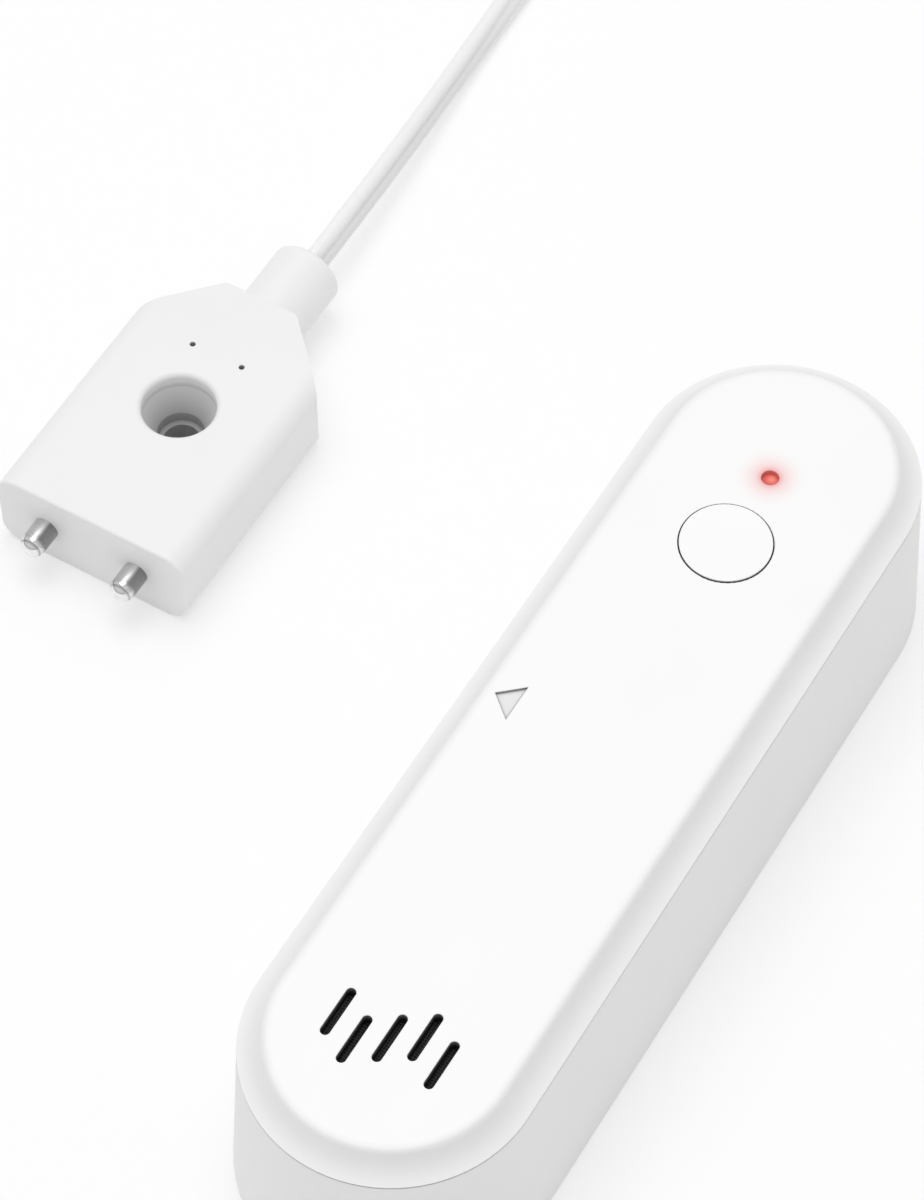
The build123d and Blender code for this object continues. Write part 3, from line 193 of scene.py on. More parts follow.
# Grip lines of the battery door and the plug handle
DOOR_GRIP_Y = 12 * MM
HANDLE_GRIP_START = 11 * MM
HANDLE_GRIP_END = 5 * MM
GRIP_SOFT = 1 * MM

# Battery cells
CELL_NUB = 1.1 * MM
CELL_RIM = 0.3 * MM
CELL_BAND_W = 9 * MM
CELL_STEEL = (0.62, 0.61, 0.60)
CELL_LIGHT = (0.52, 0.54, 0.56)
CELL_DARK = (0.10, 0.11, 0.12)

# Finish: the noise scale of the finest grain, and the widths of soft edges between tones
FINE_GRAIN = 9000.0
SATIN_SPECULAR = 0.4
ROUGH_DOWN = 0.05
ROUGH_UP = 0.07
DULL_ROUGH_SWING = 0.06
SOFT = 0.1 * MM
TINY = 0.03 * MM


# Shader helpers


def rgb(tone):
    """A colour, where a number stands for a grey."""
    return tone if isinstance(tone, tuple) else (tone, tone, tone)


def darker(tone, share):
    return tuple(channel * share for channel in rgb(tone))


def shader(name):
    """A new material with its node tree, its Principled shader and an object-space coordinate."""
    mat = bpy.data.materials.new(name)
    mat.use_nodes = True
    tree = mat.node_tree
    bsdf = tree.nodes["Principled BSDF"]
    coord = tree.nodes.new("ShaderNodeTexCoord")
    return mat, tree, bsdf, coord.outputs["Object"]


def feed(tree, socket, value):
    """Link an output to a socket, or set a plain value on it."""
    if isinstance(value, (int, float, tuple)):
        socket.default_value = value
    else:
        tree.links.new(value, socket)


def math_node(tree, operation, first, second=0.0):
    node = tree.nodes.new("ShaderNodeMath")
    node.operation = operation
    feed(tree, node.inputs[0], first)
    feed(tree, node.inputs[1], second)
    return node.outputs[0]


def times(tree, *values):
    """Product of several values."""
    product = values[0]
    for value in values[1:]:
        product = math_node(tree, "MULTIPLY", product, value)
    return product


def xyz(tree, coord):
    node = tree.nodes.new("ShaderNodeSeparateXYZ")
    tree.links.new(coord, node.inputs[0])
    return node.outputs[0], node.outputs[1], node.outputs[2]


def rise(tree, value, low, high, start=0.0, end=1.0):
    """Smooth climb from start to end as a value goes from low to high."""
    node = tree.nodes.new("ShaderNodeMapRange")
    node.interpolation_type = "SMOOTHSTEP"
    node.inputs["From Min"].default_value = low
    node.inputs["From Max"].default_value = high
    node.inputs["To Min"].default_value = start
    node.inputs["To Max"].default_value = end
    tree.links.new(value, node.inputs["Value"])
    return node.outputs["Result"]


def up_to(tree, value, reach, soft):
    """1 up to a reach, and 0 past a soft edge."""
    return rise(tree, value, reach, reach + soft, 1.0, 0.0)


def line(tree, value, low, high):
    """Straight climb from 0 to 1 as a value goes from low to high."""
    climb = rise(tree, value, low, high)
    climb.node.interpolation_type = "LINEAR"
    return climb


def stretched(tree, coord, scale):
    """The coordinate with each axis scaled by its own amount."""
    node = tree.nodes.new("ShaderNodeVectorMath")
    node.operation = "MULTIPLY"
    node.inputs[1].default_value = scale
    tree.links.new(coord, node.inputs[0])
    return node.outputs[0]


def distance(tree, coord, place):
    """Distance on plan from a place."""
    node = tree.nodes.new("ShaderNodeVectorMath")
    node.operation = "DISTANCE"
    node.inputs[1].default_value = (*place, 0)
    tree.links.new(stretched(tree, coord, (1, 1, 0)), node.inputs[0])
    return node.outputs["Value"]


def from_middle_line(tree, coord, half_straight):
    """Distance on plan from the middle line of a long shape with round ends."""
    x, y, _ = xyz(tree, coord)
    past = math_node(tree, "SUBTRACT", math_node(tree, "ABSOLUTE", y), half_straight)
    past = math_node(tree, "MAXIMUM", past, 0.0)
    squares = math_node(tree, "ADD", times(tree, x, x), times(tree, past, past))
    return math_node(tree, "SQRT", squares)


def noise(tree, coord, scale, detail=3.0, rough=0.5):
    """A noise texture in object space."""
    node = tree.nodes.new("ShaderNodeTexNoise")
    node.inputs["Scale"].default_value = scale
    node.inputs["Detail"].default_value = detail
    node.inputs["Roughness"].default_value = rough
    tree.links.new(coord, node.inputs["Vector"])
    return node.outputs["Fac"]


def wave(tree, coord, axis, scale, distortion=0.0, kind="BANDS"):
    """Bands across an axis, or rings round it."""
    node = tree.nodes.new("ShaderNodeTexWave")
    node.wave_type = kind
    if kind == "BANDS":
        node.bands_direction = axis
    else:
        node.rings_direction = axis
    node.inputs["Scale"].default_value = scale
    node.inputs["Distortion"].default_value = distortion
    tree.links.new(coord, node.inputs["Vector"])
    return node.outputs["Fac"]


def cells(tree, coord, scale):
    """Distance from the nearest of many scattered points."""
    node = tree.nodes.new("ShaderNodeTexVoronoi")
    node.inputs["Scale"].default_value = scale
    tree.links.new(coord, node.inputs["Vector"])
    return node.outputs["Distance"]


def ramp(tree, fac, stops):
    """A colour ramp from (position, tone) stops."""
    node = tree.nodes.new("ShaderNodeValToRGB")
    elements = node.color_ramp.elements
    while len(elements) < len(stops):
        elements.new(0.5)
    for element, (place, tone) in zip(elements, stops):
        element.position = place
        element.color = (*rgb(tone), 1.0)
    tree.links.new(fac, node.inputs["Fac"])
    return node.outputs["Color"]


def blend(tree, fac, first, second):
    """Mix two tones, each an output, a colour or a number."""
    node = tree.nodes.new("ShaderNodeMix")
    node.data_type = "RGBA"
    feed(tree, node.inputs[0], fac)
    # A colour mix takes its colours at inputs 6 and 7, and gives its result at output 2
    for socket, value in ((node.inputs[6], first), (node.inputs[7], second)):
        if isinstance(value, (float, tuple)):
            socket.default_value = (*rgb(value), 1.0)
        else:
            tree.links.new(value, socket)
    return node.outputs[2]


def shaded(tree, colour, shade):
    """A colour multiplied by a shade."""
    product = blend(tree, 1.0, colour, shade)
    product.node.blend_type = "MULTIPLY"
    return product


def bump(tree, bsdf, height, depth):
    """Bump from a height, with its depth in metres."""
    node = tree.nodes.new("ShaderNodeBump")
    node.inputs["Distance"].default_value = depth
    tree.links.new(height, node.inputs["Height"])
    tree.links.new(node.outputs["Normal"], bsdf.inputs["Normal"])


def vary_roughness(tree, bsdf, fac, low, high):
    """Roughness that wanders between two values."""
    tree.links.new(rise(tree, fac, 0.0, 1.0, low, high), bsdf.inputs["Roughness"])


# Plastic


def moulded(name, colour, roughness=0.42, grain=0.004 * MM):
    """Fine satin moulding: a tiny spark-eroded grain and a faint drift of tone."""
    mat, tree, bsdf, coord = shader(name)
    drift = noise(tree, coord, scale=60.0, detail=2.0)
    tone = ramp(tree, drift, ((0.3, darker(colour, 0.985)), (0.7, colour)))
    tree.links.new(tone, bsdf.inputs["Base Color"])
    fine = noise(tree, coord, FINE_GRAIN, detail=2.0)
    vary_roughness(tree, bsdf, fine, roughness - ROUGH_DOWN, roughness + ROUGH_UP)
    bump(tree, bsdf, fine, grain)
    bsdf.inputs["Specular IOR Level"].default_value = SATIN_SPECULAR
    return mat, tree, bsdf, coord, tone


def sunk(tree, coord):
    """1 below the cover's top face, and 0 on it."""
    _, _, z = xyz(tree, coord)
    return up_to(tree, z, TOP_Z - SUNK_FROM, SUNK_SOFT)


def mark_depth(tree, coord):
    """How far a point lies inside the sunk mark's outline."""
    x, y, _ = xyz(tree, coord)
    middle_x = sum(corner[0] for corner in MARK_CORNERS) / len(MARK_CORNERS)
    middle_y = sum(corner[1] for corner in MARK_CORNERS) / len(MARK_CORNERS)
    least = None
    for here, after in zip(MARK_CORNERS, MARK_CORNERS[1:] + MARK_CORNERS[:1]):
        normal = Vector((here[1] - after[1], after[0] - here[0])).normalized()
        if normal.dot(Vector((middle_x - here[0], middle_y - here[1]))) < 0:
            normal = -normal
        across = math_node(tree, "MULTIPLY", x, normal.x)
        along = math_node(tree, "MULTIPLY", y, normal.y)
        both = math_node(tree, "ADD", across, along)
        inside = math_node(tree, "SUBTRACT", both, normal.x * here[0] + normal.y * here[1])
        least = inside if least is None else math_node(tree, "MINIMUM", least, inside)
    return least


def glow_paint(tree, coord, colour):
    """Painted pink glow of the status light on the cover round it."""
    away = line(tree, distance(tree, coord, (0, LIGHT_Y)), 0, GLOW_REACH)
    near = rise(tree, away, GLOW_FADE_FROM, GLOW_FADE_TO, 1.0, 0.0)
    return blend(tree, near, colour, ramp(tree, away, GLOW_SHARES))


def cove_shade_paint(tree, coord, colour):
    """Painted shade: a little less white down in the cove round the plateau."""
    across = line(tree, from_middle_line(tree, coord, COVER_HALF_STRAIGHT), COVE_FROM, COVE_TO)
    return shaded(tree, colour, ramp(tree, across, COVE_SHADES))


def mark_shade_paint(tree, coord, colour):
    """The sunk mark: painted shade down its sides, and on its floor, darkest along its edges."""
    _, _, z = xyz(tree, coord)
    inside = mark_depth(tree, coord)
    in_mark = rise(tree, inside, -MARK_PAST, -MARK_EDGE)
    on_floor = up_to(tree, z, TOP_Z - MARK_SINK + MARK_EDGE / 2, TINY)
    floor_tone = ramp(tree, rise(tree, inside, 0, MARK_EDGE_W), MARK_FLOOR_SHADES)
    mark_tone = blend(tree, on_floor, MARK_SIDE_SHADE, floor_tone)
    return blend(tree, times(tree, in_mark, sunk(tree, coord)), colour, mark_tone)


def slot_shade_paint(tree, coord, colour):
    """Painted shade down the slot walls, black further down."""
    x, y, z = xyz(tree, coord)
    beside = up_to(tree, math_node(tree, "ABSOLUTE", x), SLOTS_HALF_W, SLOTS_SOFT)
    from_row = math_node(tree, "ABSOLUTE", math_node(tree, "SUBTRACT", y, SLOTS_MIDDLE_Y))
    along = up_to(tree, from_row, SLOTS_HALF_L, SLOTS_SOFT)
    height = rise(tree, z, TOP_Z - SLOTS_BLACK_AT, TOP_Z - SOFT)
    in_slots = times(tree, beside, along, sunk(tree, coord))
    return blend(tree, in_slots, colour, ramp(tree, height, SLOTS_SHADES))


def hole_shade_and_glow_paint(tree, coord, colour):
    """Painted shade down the side of the button's hole, and the status light's painted red glow down
    the light's.
    """
    holes = (
        ((0, BUTTON_Y), BUTTON_HOLE_R, BUTTON_HOLE_SOFT, BUTTON_HOLE_SHADE),
        ((0, LIGHT_Y), LIGHT_R, SOFT, LIGHT_HOLE_GLOW_RED),
    )
    for place, reach, soft, tone in holes:
        inside = up_to(tree, distance(tree, coord, place), reach, soft)
        colour = blend(tree, times(tree, inside, sunk(tree, coord)), colour, tone)
    return colour


def seam_shade_paint(tree, coord, colour):
    """Painted shade: a dark line in the gap under the cover's rim."""
    _, _, z = xyz(tree, coord)
    return blend(tree, up_to(tree, z, TOP_Z - SEAM_DROP, SEAM_SOFT), colour, SEAM_SHADE)


def cover_plastic():
    """White cover: painted shade in the cove, the slots, the seam, the sunk mark and the button's hole,
    and the status light's glow painted pink round it and red down its hole.
    """
    mat, tree, bsdf, coord, colour = moulded("cover_plastic", WHITE)
    for paint in (glow_paint, cove_shade_paint, mark_shade_paint, slot_shade_paint, hole_shade_and_glow_paint, seam_shade_paint):
        colour = paint(tree, coord, colour)
    tree.links.new(colour, bsdf.inputs["Base Color"])
    return mat


def button_plastic():
    """Button: white on top, with painted shade down its side in the gap round it."""
    mat, tree, bsdf, coord, tone = moulded("button_plastic", 0.94, roughness=0.38)
    _, _, z = xyz(tree, coord)
    side_from = BUTTON_R - BUTTON_SIDE_W
    at_side = rise(tree, distance(tree, coord, (0, BUTTON_Y)), side_from, side_from + TINY)
    low = up_to(tree, z, TOP_Z - BUTTON_SIDE_TOP, SUNK_SOFT)
    colour = blend(tree, times(tree, at_side, low), tone, BUTTON_SIDE_SHADE)
    tree.links.new(colour, bsdf.inputs["Base Color"])
    return mat


def base_plastic():
    return moulded("base_plastic", 0.875, roughness=0.44, grain=0.005 * MM)[0]


def door_plastic():
    """Battery door: the base's plastic with fine grip lines by the finger notch."""
    mat, tree, bsdf, coord, _ = moulded("door_plastic", 0.89, roughness=0.46)
    _, y, _ = xyz(tree, coord)
    fine = noise(tree, coord, FINE_GRAIN, detail=2.0)
    ridges = wave(tree, coord, "Y", scale=260.0)
    near_notch = rise(tree, y, DOOR_GRIP_Y, DOOR_GRIP_Y + GRIP_SOFT)
    height = math_node(tree, "ADD", times(tree, fine, 0.08), times(tree, ridges, near_notch))
    bump(tree, bsdf, height, depth=0.04 * MM)
    return mat


def probe_plastic():
    """Probe block: a slightly duller white, with painted shade down its screw hole, painted light on
    the hole's wall near its top, and painted shade in the two tiny holes.
    """
    mat, tree, bsdf, coord, tone = moulded("probe_plastic", PROBE_WHITE, roughness=0.45)
    _, _, z = xyz(tree, coord)
    in_hole = up_to(tree, distance(tree, coord, (HOLE_X, HOLE_Y)), HOLE_TOP_R, HOLE_SOFT)
    height = line(tree, z, PROBE_TOP_Z - HOLE_DEPTH, PROBE_TOP_Z - SOFT)
    left = distance(tree, coord, (HOLE_X - WITNESS_SPACING / 2, WITNESS_Y))
    right = distance(tree, coord, (HOLE_X + WITNESS_SPACING / 2, WITNESS_Y))
    in_witness = up_to(tree, math_node(tree, "MINIMUM", left, right), WITNESS_R, SOFT)
    below_top = up_to(tree, z, PROBE_TOP_Z - WITNESS_FROM, WITNESS_SOFT)
    colour = blend(tree, in_hole, tone, ramp(tree, height, HOLE_LIGHT_AND_SHADE))
    colour = blend(tree, times(tree, in_witness, below_top), colour, WITNESS_SHADE)
    tree.links.new(colour, bsdf.inputs["Base Color"])
    return mat


def collar_plastic():
    return moulded("collar_plastic", 0.87, roughness=0.4)[0]


def handle_plastic():
    """Plug handle: satin white with moulded grip rings."""
    mat, tree, bsdf, coord, _ = moulded("handle_plastic", 0.88, roughness=0.4)
    low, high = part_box("plug_handle")
    x, _, _ = xyz(tree, coord)
    grip_from = low[0] + HANDLE_GRIP_START
    starts = rise(tree, x, grip_from, grip_from + GRIP_SOFT)
    ends = up_to(tree, x, high[0] - HANDLE_GRIP_END, GRIP_SOFT)
    rings = wave(tree, coord, "X", scale=190.0)
    bump(tree, bsdf, times(tree, rings, starts, ends), depth=0.3 * MM)
    return mat


def tie_plastic():
    """Soft tie with fine ribs across it."""
    mat, tree, bsdf, coord, _ = moulded("tie_plastic", 0.86, roughness=0.55)
    bump(tree, bsdf, wave(tree, coord, "X", scale=400.0, distortion=0.4), depth=0.06 * MM)
    return mat


def jacket():
    """Lead jacket: soft satin, with drag lines of an extrusion and painted shade along one core."""
    mat, tree, bsdf, coord, tone = moulded("lead_jacket", 0.89, roughness=0.36, grain=0.002 * MM)
    # Painted shade along one core, read from the points' attribute
    shade_stripe = tree.nodes.new("ShaderNodeAttribute")
    shade_stripe.attribute_name = SHADE_STRIPE
    tree.links.new(blend(tree, shade_stripe.outputs["Fac"], tone, SHADE_STRIPE_GREY), bsdf.inputs["Base Color"])
    lines = noise(tree, stretched(tree, coord, (1.0, 0.02, 1.0)), scale=7000.0, detail=2.0)
    bump(tree, bsdf, lines, depth=0.003 * MM)
    return mat


# Metal


def metal(name, colour, roughness, grain=0.002 * MM):
    """Plain metal with fine grain and a wandering gloss."""
    mat, tree, bsdf, coord = shader(name)
    fine = noise(tree, coord, scale=4000.0)
    patches = noise(tree, coord, scale=300.0, detail=2.0)
    tone = ramp(tree, patches, ((0.3, darker(colour, 0.9)), (0.7, colour)))
    tree.links.new(tone, bsdf.inputs["Base Color"])
    vary_roughness(tree, bsdf, fine, roughness - ROUGH_DOWN, roughness + ROUGH_UP)
    bump(tree, bsdf, fine, grain)
    bsdf.inputs["Metallic"].default_value = 1.0
    return mat, tree, bsdf, coord


def pin_steel():
    """Steel pins: turned shafts with fine rings, painted lighter on one side and darker on the other,
    and polished domed tips with painted reflections and a dark ring.
    """
    mat, tree, bsdf, coord = metal("pin_steel", (0.52, 0.52, 0.53), roughness=0.2)
    low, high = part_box("sensing_pins")
    x, y, _ = xyz(tree, coord)
    spacing = high[0] - low[0] - 2 * PIN_R
    second = math_node(tree, "ROUND", line(tree, x, low[0] + 2 * PIN_R, high[0] - 2 * PIN_R))
    axis = math_node(tree, "ADD", times(tree, second, spacing), low[0] + PIN_R)
    from_axis = math_node(tree, "SUBTRACT", x, axis)
    # Painted light and shade across each shaft, and painted reflections along each dome
    lit_and_shaded_side = ramp(tree, line(tree, from_axis, -PIN_R, PIN_R), PIN_SHAFT_LIGHT_AND_SHADE)
    dome = ramp(tree, line(tree, y, low[1], low[1] + PIN_R), PIN_DOME_REFLECTIONS)
    shaft = rise(tree, y, low[1] + PIN_DOME_END, low[1] + PIN_SHAFT_START)
    turned = noise(tree, stretched(tree, coord, (0.15, 1.0, 0.15)), FINE_GRAIN)
    streaks = ramp(tree, turned, ((0.3, 0.85), (0.7, 1.0)))
    tone = shaded(tree, blend(tree, shaft, dome, lit_and_shaded_side), streaks)
    tree.links.new(tone, bsdf.inputs["Base Color"])
    vary_roughness(tree, bsdf, shaft, low=0.07, high=0.3)
    bump(tree, bsdf, times(tree, turned, shaft), depth=0.006 * MM)
    return mat


def screw_steel():
    """Plated screws with turning marks round their axis."""
    mat, tree, bsdf, coord = metal("screw_steel", (0.46, 0.46, 0.47), roughness=0.3)
    rings = wave(tree, coord, "Z", scale=900.0, distortion=0.5, kind="RINGS")
    bump(tree, bsdf, rings, depth=0.01 * MM)
    return mat


def contact_nickel():
    """Pressed nickel strip with rolling lines."""
    mat, tree, bsdf, coord = metal("contact_nickel", (0.72, 0.71, 0.68), roughness=0.24)
    lines = noise(tree, stretched(tree, coord, (1.0, 1.0, 0.05)), scale=6000.0)
    bump(tree, bsdf, lines, depth=0.004 * MM)
    return mat


def plug_nickel():
    """Bright turned nickel."""
    mat, tree, bsdf, coord = metal("plug_nickel", (0.75, 0.74, 0.70), roughness=0.12)
    lines = noise(tree, stretched(tree, coord, (1.0, 0.1, 0.1)), scale=8000.0, detail=2.0)
    bump(tree, bsdf, lines, depth=0.003 * MM)
    return mat


def shield_tin():
    """Tinned sheet with soft spangle."""
    mat, tree, bsdf, coord = metal("shield_tin", (0.70, 0.70, 0.68), roughness=0.3)
    spangle = cells(tree, coord, scale=900.0)
    tone = ramp(tree, spangle, ((0.0, (0.62, 0.62, 0.60)), (1.0, (0.74, 0.74, 0.72))))
    tree.links.new(tone, bsdf.inputs["Base Color"])
    return mat


def copper_wire():
    """Enamelled copper, wound: fine ridges one beside the next."""
    mat, tree, bsdf, coord = metal("copper_wire", (0.72, 0.34, 0.14), roughness=0.25)
    bump(tree, bsdf, wave(tree, coord, "Z", scale=1100.0), depth=0.08 * MM)
    return mat


def brass_plate():
    return metal("brass_plate", (0.76, 0.58, 0.26), roughness=0.3)[0]


# Foam, rubber, board and chips


def dull(name, colour, roughness, scale=2500.0, grain=0.01 * MM):
    """Matt surface with a visible grain, for foam, rubber, epoxy and ceramic."""
    mat, tree, bsdf, coord = shader(name)
    fine = noise(tree, coord, scale, detail=4.0, rough=0.6)
    tone = ramp(tree, fine, ((0.25, darker(colour, 0.8)), (0.75, colour)))
    tree.links.new(tone, bsdf.inputs["Base Color"])
    vary_roughness(tree, bsdf, fine, roughness - DULL_ROUGH_SWING, roughness + DULL_ROUGH_SWING)
    bump(tree, bsdf, fine, grain)
    return mat, tree, bsdf, coord


def foam_black():
    """Open foam: round pores."""
    mat, tree, bsdf, coord = dull("foam_black", 0.03, roughness=0.9)
    bump(tree, bsdf, cells(tree, coord, scale=3500.0), depth=0.2 * MM)
    return mat


def mesh_black():
    """Woven acoustic mesh: threads both ways, with pin holes between."""
    mat, tree, bsdf, coord = dull("mesh_black", 0.03, roughness=0.7)
    weft = wave(tree, coord, "X", scale=800.0)
    warp = wave(tree, coord, "Y", scale=800.0)
    weave = math_node(tree, "MAXIMUM", weft, warp)
    tree.links.new(ramp(tree, weave, ((0.4, 0.002), (0.9, 0.035))), bsdf.inputs["Base Color"])
    bump(tree, bsdf, weave, depth=0.08 * MM)
    return mat


def track_grid(tree, coord):
    """Rectangles with lines between them, for the tracks of a board."""
    grid = tree.nodes.new("ShaderNodeTexBrick")
    grid.inputs["Scale"].default_value = 420.0
    grid.inputs["Mortar Size"].default_value = 0.06
    for socket, tone in (("Color1", 0.0), ("Color2", 0.25), ("Mortar", 1.0)):
        grid.inputs[socket].default_value = (*rgb(tone), 1.0)
    tree.links.new(coord, grid.inputs["Vector"])
    return grid.outputs["Color"]


def board_green():
    """Solder mask over copper: tracks, pads and the glass weave beneath."""
    mat, tree, bsdf, coord = shader("board_green")
    grid = track_grid(tree, coord)
    weave = wave(tree, coord, "X", scale=1200.0)
    mask = ramp(tree, weave, ((0.0, (0.014, 0.105, 0.045)), (1.0, (0.018, 0.125, 0.055))))
    tracks = blend(tree, grid, mask, (0.05, 0.26, 0.12))
    vias = up_to(tree, cells(tree, coord, scale=330.0), reach=0.10, soft=0.03)
    tree.links.new(blend(tree, vias, tracks, (0.70, 0.62, 0.38)), bsdf.inputs["Base Color"])
    vary_roughness(tree, bsdf, noise(tree, coord, scale=200.0), low=0.2, high=0.34)
    bump(tree, bsdf, grid, depth=0.03 * MM)
    return mat


def epoxy_black():
    """Matt chip packages with a faint sparkle of filler."""
    return dull("epoxy_black", (0.03, 0.03, 0.032), roughness=0.55, scale=6000.0)[0]


def moulded_black(name):
    return dull(name, (0.028, 0.028, 0.03), roughness=0.42, scale=7000.0, grain=0.004 * MM)[0]


def ceramic_grey():
    """Silvered ceramic disc with a scraped, cloudy face."""
    mat, tree, bsdf, coord = dull("ceramic_grey", (0.72, 0.70, 0.64), roughness=0.45)
    clouds = noise(tree, coord, scale=500.0, detail=5.0, rough=0.65)
    tone = ramp(tree, clouds, ((0.3, (0.60, 0.58, 0.52)), (0.7, (0.76, 0.74, 0.69))))
    tree.links.new(tone, bsdf.inputs["Base Color"])
    return mat


def seal_rubber():
    return dull("seal_rubber", 0.34, roughness=0.8)[0]


def cell_jacket(name, end):
    """AAA cell: steel ends, a plain dark film with a lighter band towards its nub, at the given end."""
    low, high = (corner[1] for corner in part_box(name))
    mat, tree, bsdf, coord = dull(name + "_jacket", CELL_DARK, 0.3, scale=900.0, grain=0.003 * MM)
    _, y, _ = xyz(tree, coord)
    film_low = low + (CELL_NUB if end < 0 else CELL_RIM)
    film_high = high - (CELL_NUB if end > 0 else CELL_RIM)
    past_low = rise(tree, y, film_low, film_low + SOFT)
    before_high = rise(tree, y, film_high - SOFT, film_high, 1.0, 0.0)
    film = times(tree, past_low, before_high)
    band_edge = film_high - CELL_BAND_W if end > 0 else film_low + CELL_BAND_W
    past_edge = rise(tree, y, band_edge - SOFT, band_edge + SOFT)
    before, after = (CELL_DARK, CELL_LIGHT) if end > 0 else (CELL_LIGHT, CELL_DARK)
    film_tone = blend(tree, past_edge, before, after)
    tree.links.new(blend(tree, film, CELL_STEEL, film_tone), bsdf.inputs["Base Color"])
    tree.links.new(rise(tree, film, 0.0, 1.0, 1.0, 0.0), bsdf.inputs["Metallic"])
    return mat


# Status light


def lit(tree, bsdf, colour, strength):
    """Give a shader a colour that it also gives off."""
    tree.links.new(colour, bsdf.inputs["Base Color"])
    tree.links.new(colour, bsdf.inputs["Emission Color"])
    bsdf.inputs["Emission Strength"].default_value = strength


def lit_guide():
    """Clear light guide lit red from below: an orange middle in a deeper red."""
    mat, tree, bsdf, coord = shader("lit_guide")
    spread = rise(tree, distance(tree, coord, GUIDE_MIDDLE), 0, LIGHT_R)
    lit(tree, bsdf, ramp(tree, spread, GUIDE_REDS), strength=0.48)
    speckle = noise(tree, coord, scale=5000.0, detail=2.0)
    vary_roughness(tree, bsdf, speckle, low=0.22, high=0.34)
    bump(tree, bsdf, speckle, depth=0.01 * MM)
    return mat


def led_red():
    """Tinted epoxy lens, lit."""
    mat, tree, bsdf, coord = shader("led_red")
    speckle = noise(tree, coord, scale=3000.0, detail=2.0)
    lit(tree, bsdf, ramp(tree, speckle, LED_REDS), strength=0.8)
    vary_roughness(tree, bsdf, speckle, low=0.08, high=0.14)
    return mat


# Camera


def place_camera():
    camera = bpy.data.cameras.new("camera")
    camera.sensor_width = CAMERA_SENSOR
    camera.lens = CAMERA_LENS
    camera.clip_start = CAMERA_NEAR
    camera.clip_end = CAMERA_FAR
    thing = bpy.data.objects.new("camera", camera)
    thing.location = CAMERA_AT
    aim = Vector(CAMERA_TARGET) - Vector(CAMERA_AT)
    thing.rotation_euler = aim.to_track_quat("-Z", "Y").to_euler()
    bpy.context.collection.objects.link(thing)
    bpy.context.scene.camera = thing


# Lead


def eased(share):
    """A share from 0 to 1 with a soft start and end."""
    share = min(max(share, 0), 1)
    return share * share * (3 - 2 * share)


def coil_points():
    """Control points of the coil: in on the low layer, a climb, out on the high layer."""
    points = []
    # The spline cuts inside its control points, so they stand a little outside the turns
    spread = 1 / math.cos(math.pi / (2 * POINTS_PER_HALF_TURN)) ** (2 / 3)
    reach_at = [COIL_R - COIL_STEP * k for k in range(COIL_HALF_TURNS_IN + 2)]
    reach_at.append(reach_at[-1] + 2 * COIL_STEP)
    for _ in range(COIL_HALF_TURNS_OUT):
        reach_at.append(reach_at[-1] + COIL_STEP)
    halves = COIL_HALF_TURNS_IN + 1 + COIL_HALF_TURNS_OUT
    steps = int((halves + 0.5) * POINTS_PER_HALF_TURN)
    for index in range(1, steps):
        half, part = divmod(index, POINTS_PER_HALF_TURN)
        share = part / POINTS_PER_HALF_TURN
        reach = spread * (reach_at[half] + (reach_at[half + 1] - reach_at[half]) * share)
        angle = math.pi * (1 - index / POINTS_PER_HALF_TURN)
        climb = eased(index / POINTS_PER_HALF_TURN - COIL_HALF_TURNS_IN)
        z = COIL_LOW_Z + (COIL_HIGH_Z - COIL_LOW_Z) * climb
        points.append((COIL_X + reach * math.cos(angle), COIL_Y + reach * math.sin(angle), z))
    top_y = COIL_Y + reach_at[halves] + COIL_STEP / 2
    top_x = COIL_X + COIL_STEP / 2
    for share in TAIL_SHARES:
        points.append((top_x + (PLUG_X - top_x) * share, top_y, COIL_HIGH_Z))
    return points


def centreline():
    """Points read from one NURBS spline through the route and the coil."""
    curve = bpy.data.curves.new("lead_route", "CURVE")
    curve.dimensions = "3D"
    curve.resolution_u = LINE_STEPS
    spline = curve.splines.new("NURBS")
    points = list(ROUTE) + coil_points()
    spline.points.add(len(points) - 1)
    for point, place in zip(spline.points, points):
        point.co = (*place, 1.0)
    spline.order_u = 3
    spline.use_endpoint_u = True
    helper = bpy.data.objects.new("lead_route", curve)
    bpy.context.collection.objects.link(helper)
    bpy.context.view_layer.update()
    path = bpy.data.meshes.new_from_object(helper)
    found = [vertex.co.copy() for vertex in path.vertices]
    bpy.data.objects.remove(helper)
    bpy.data.meshes.remove(path)
    return found


def lead_section():
    """Outline of the flat twin lead: two round cores with a shallow waist between them."""
    outline = []
    for side in (1, -1):
        for step in range(CORE_STEPS + 1):
            angle = (math.pi - LEAD_WAIST) * (2 * step / CORE_STEPS - 1)
            x = side * (CORE_SPACING / 2 + CORE_R * math.cos(angle))
            y = side * CORE_R * math.sin(angle)
            outline.append((x, y))
    return outline


def lead_rings(path, outline):
    """The outline's points set square across the path, rolled on edge by the collar."""
    vertices = []
    for index, place in enumerate(path):
        ahead = path[min(index + 1, len(path) - 1)]
        behind = path[max(index - 1, 0)]
        along = (ahead - behind).normalized()
        flat = Vector((0, 0, 1)).cross(along).normalized()
        upright = along.cross(flat)
        roll = ROLL * eased((ROLL_TO_Y - place.y) / (ROLL_TO_Y - ROLL_FROM_Y))
        across = flat * math.cos(roll) + upright * math.sin(roll)
        raised = upright * math.cos(roll) - flat * math.sin(roll)
        for x, y in outline:
            vertices.append(place + across * x + raised * y)
    return vertices


def tube_faces(rings, count):
    """Faces between rings of count points, with both ends closed."""
    faces = []
    for ring in range(rings - 1):
        for step in range(count):
            near = ring * count + step
            beside = ring * count + (step + 1) % count
            faces.append((near, beside, beside + count, near + count))
    last = (rings - 1) * count
    faces.append(tuple(range(count - 1, -1, -1)))
    faces.append(tuple(range(last, last + count)))
    return faces


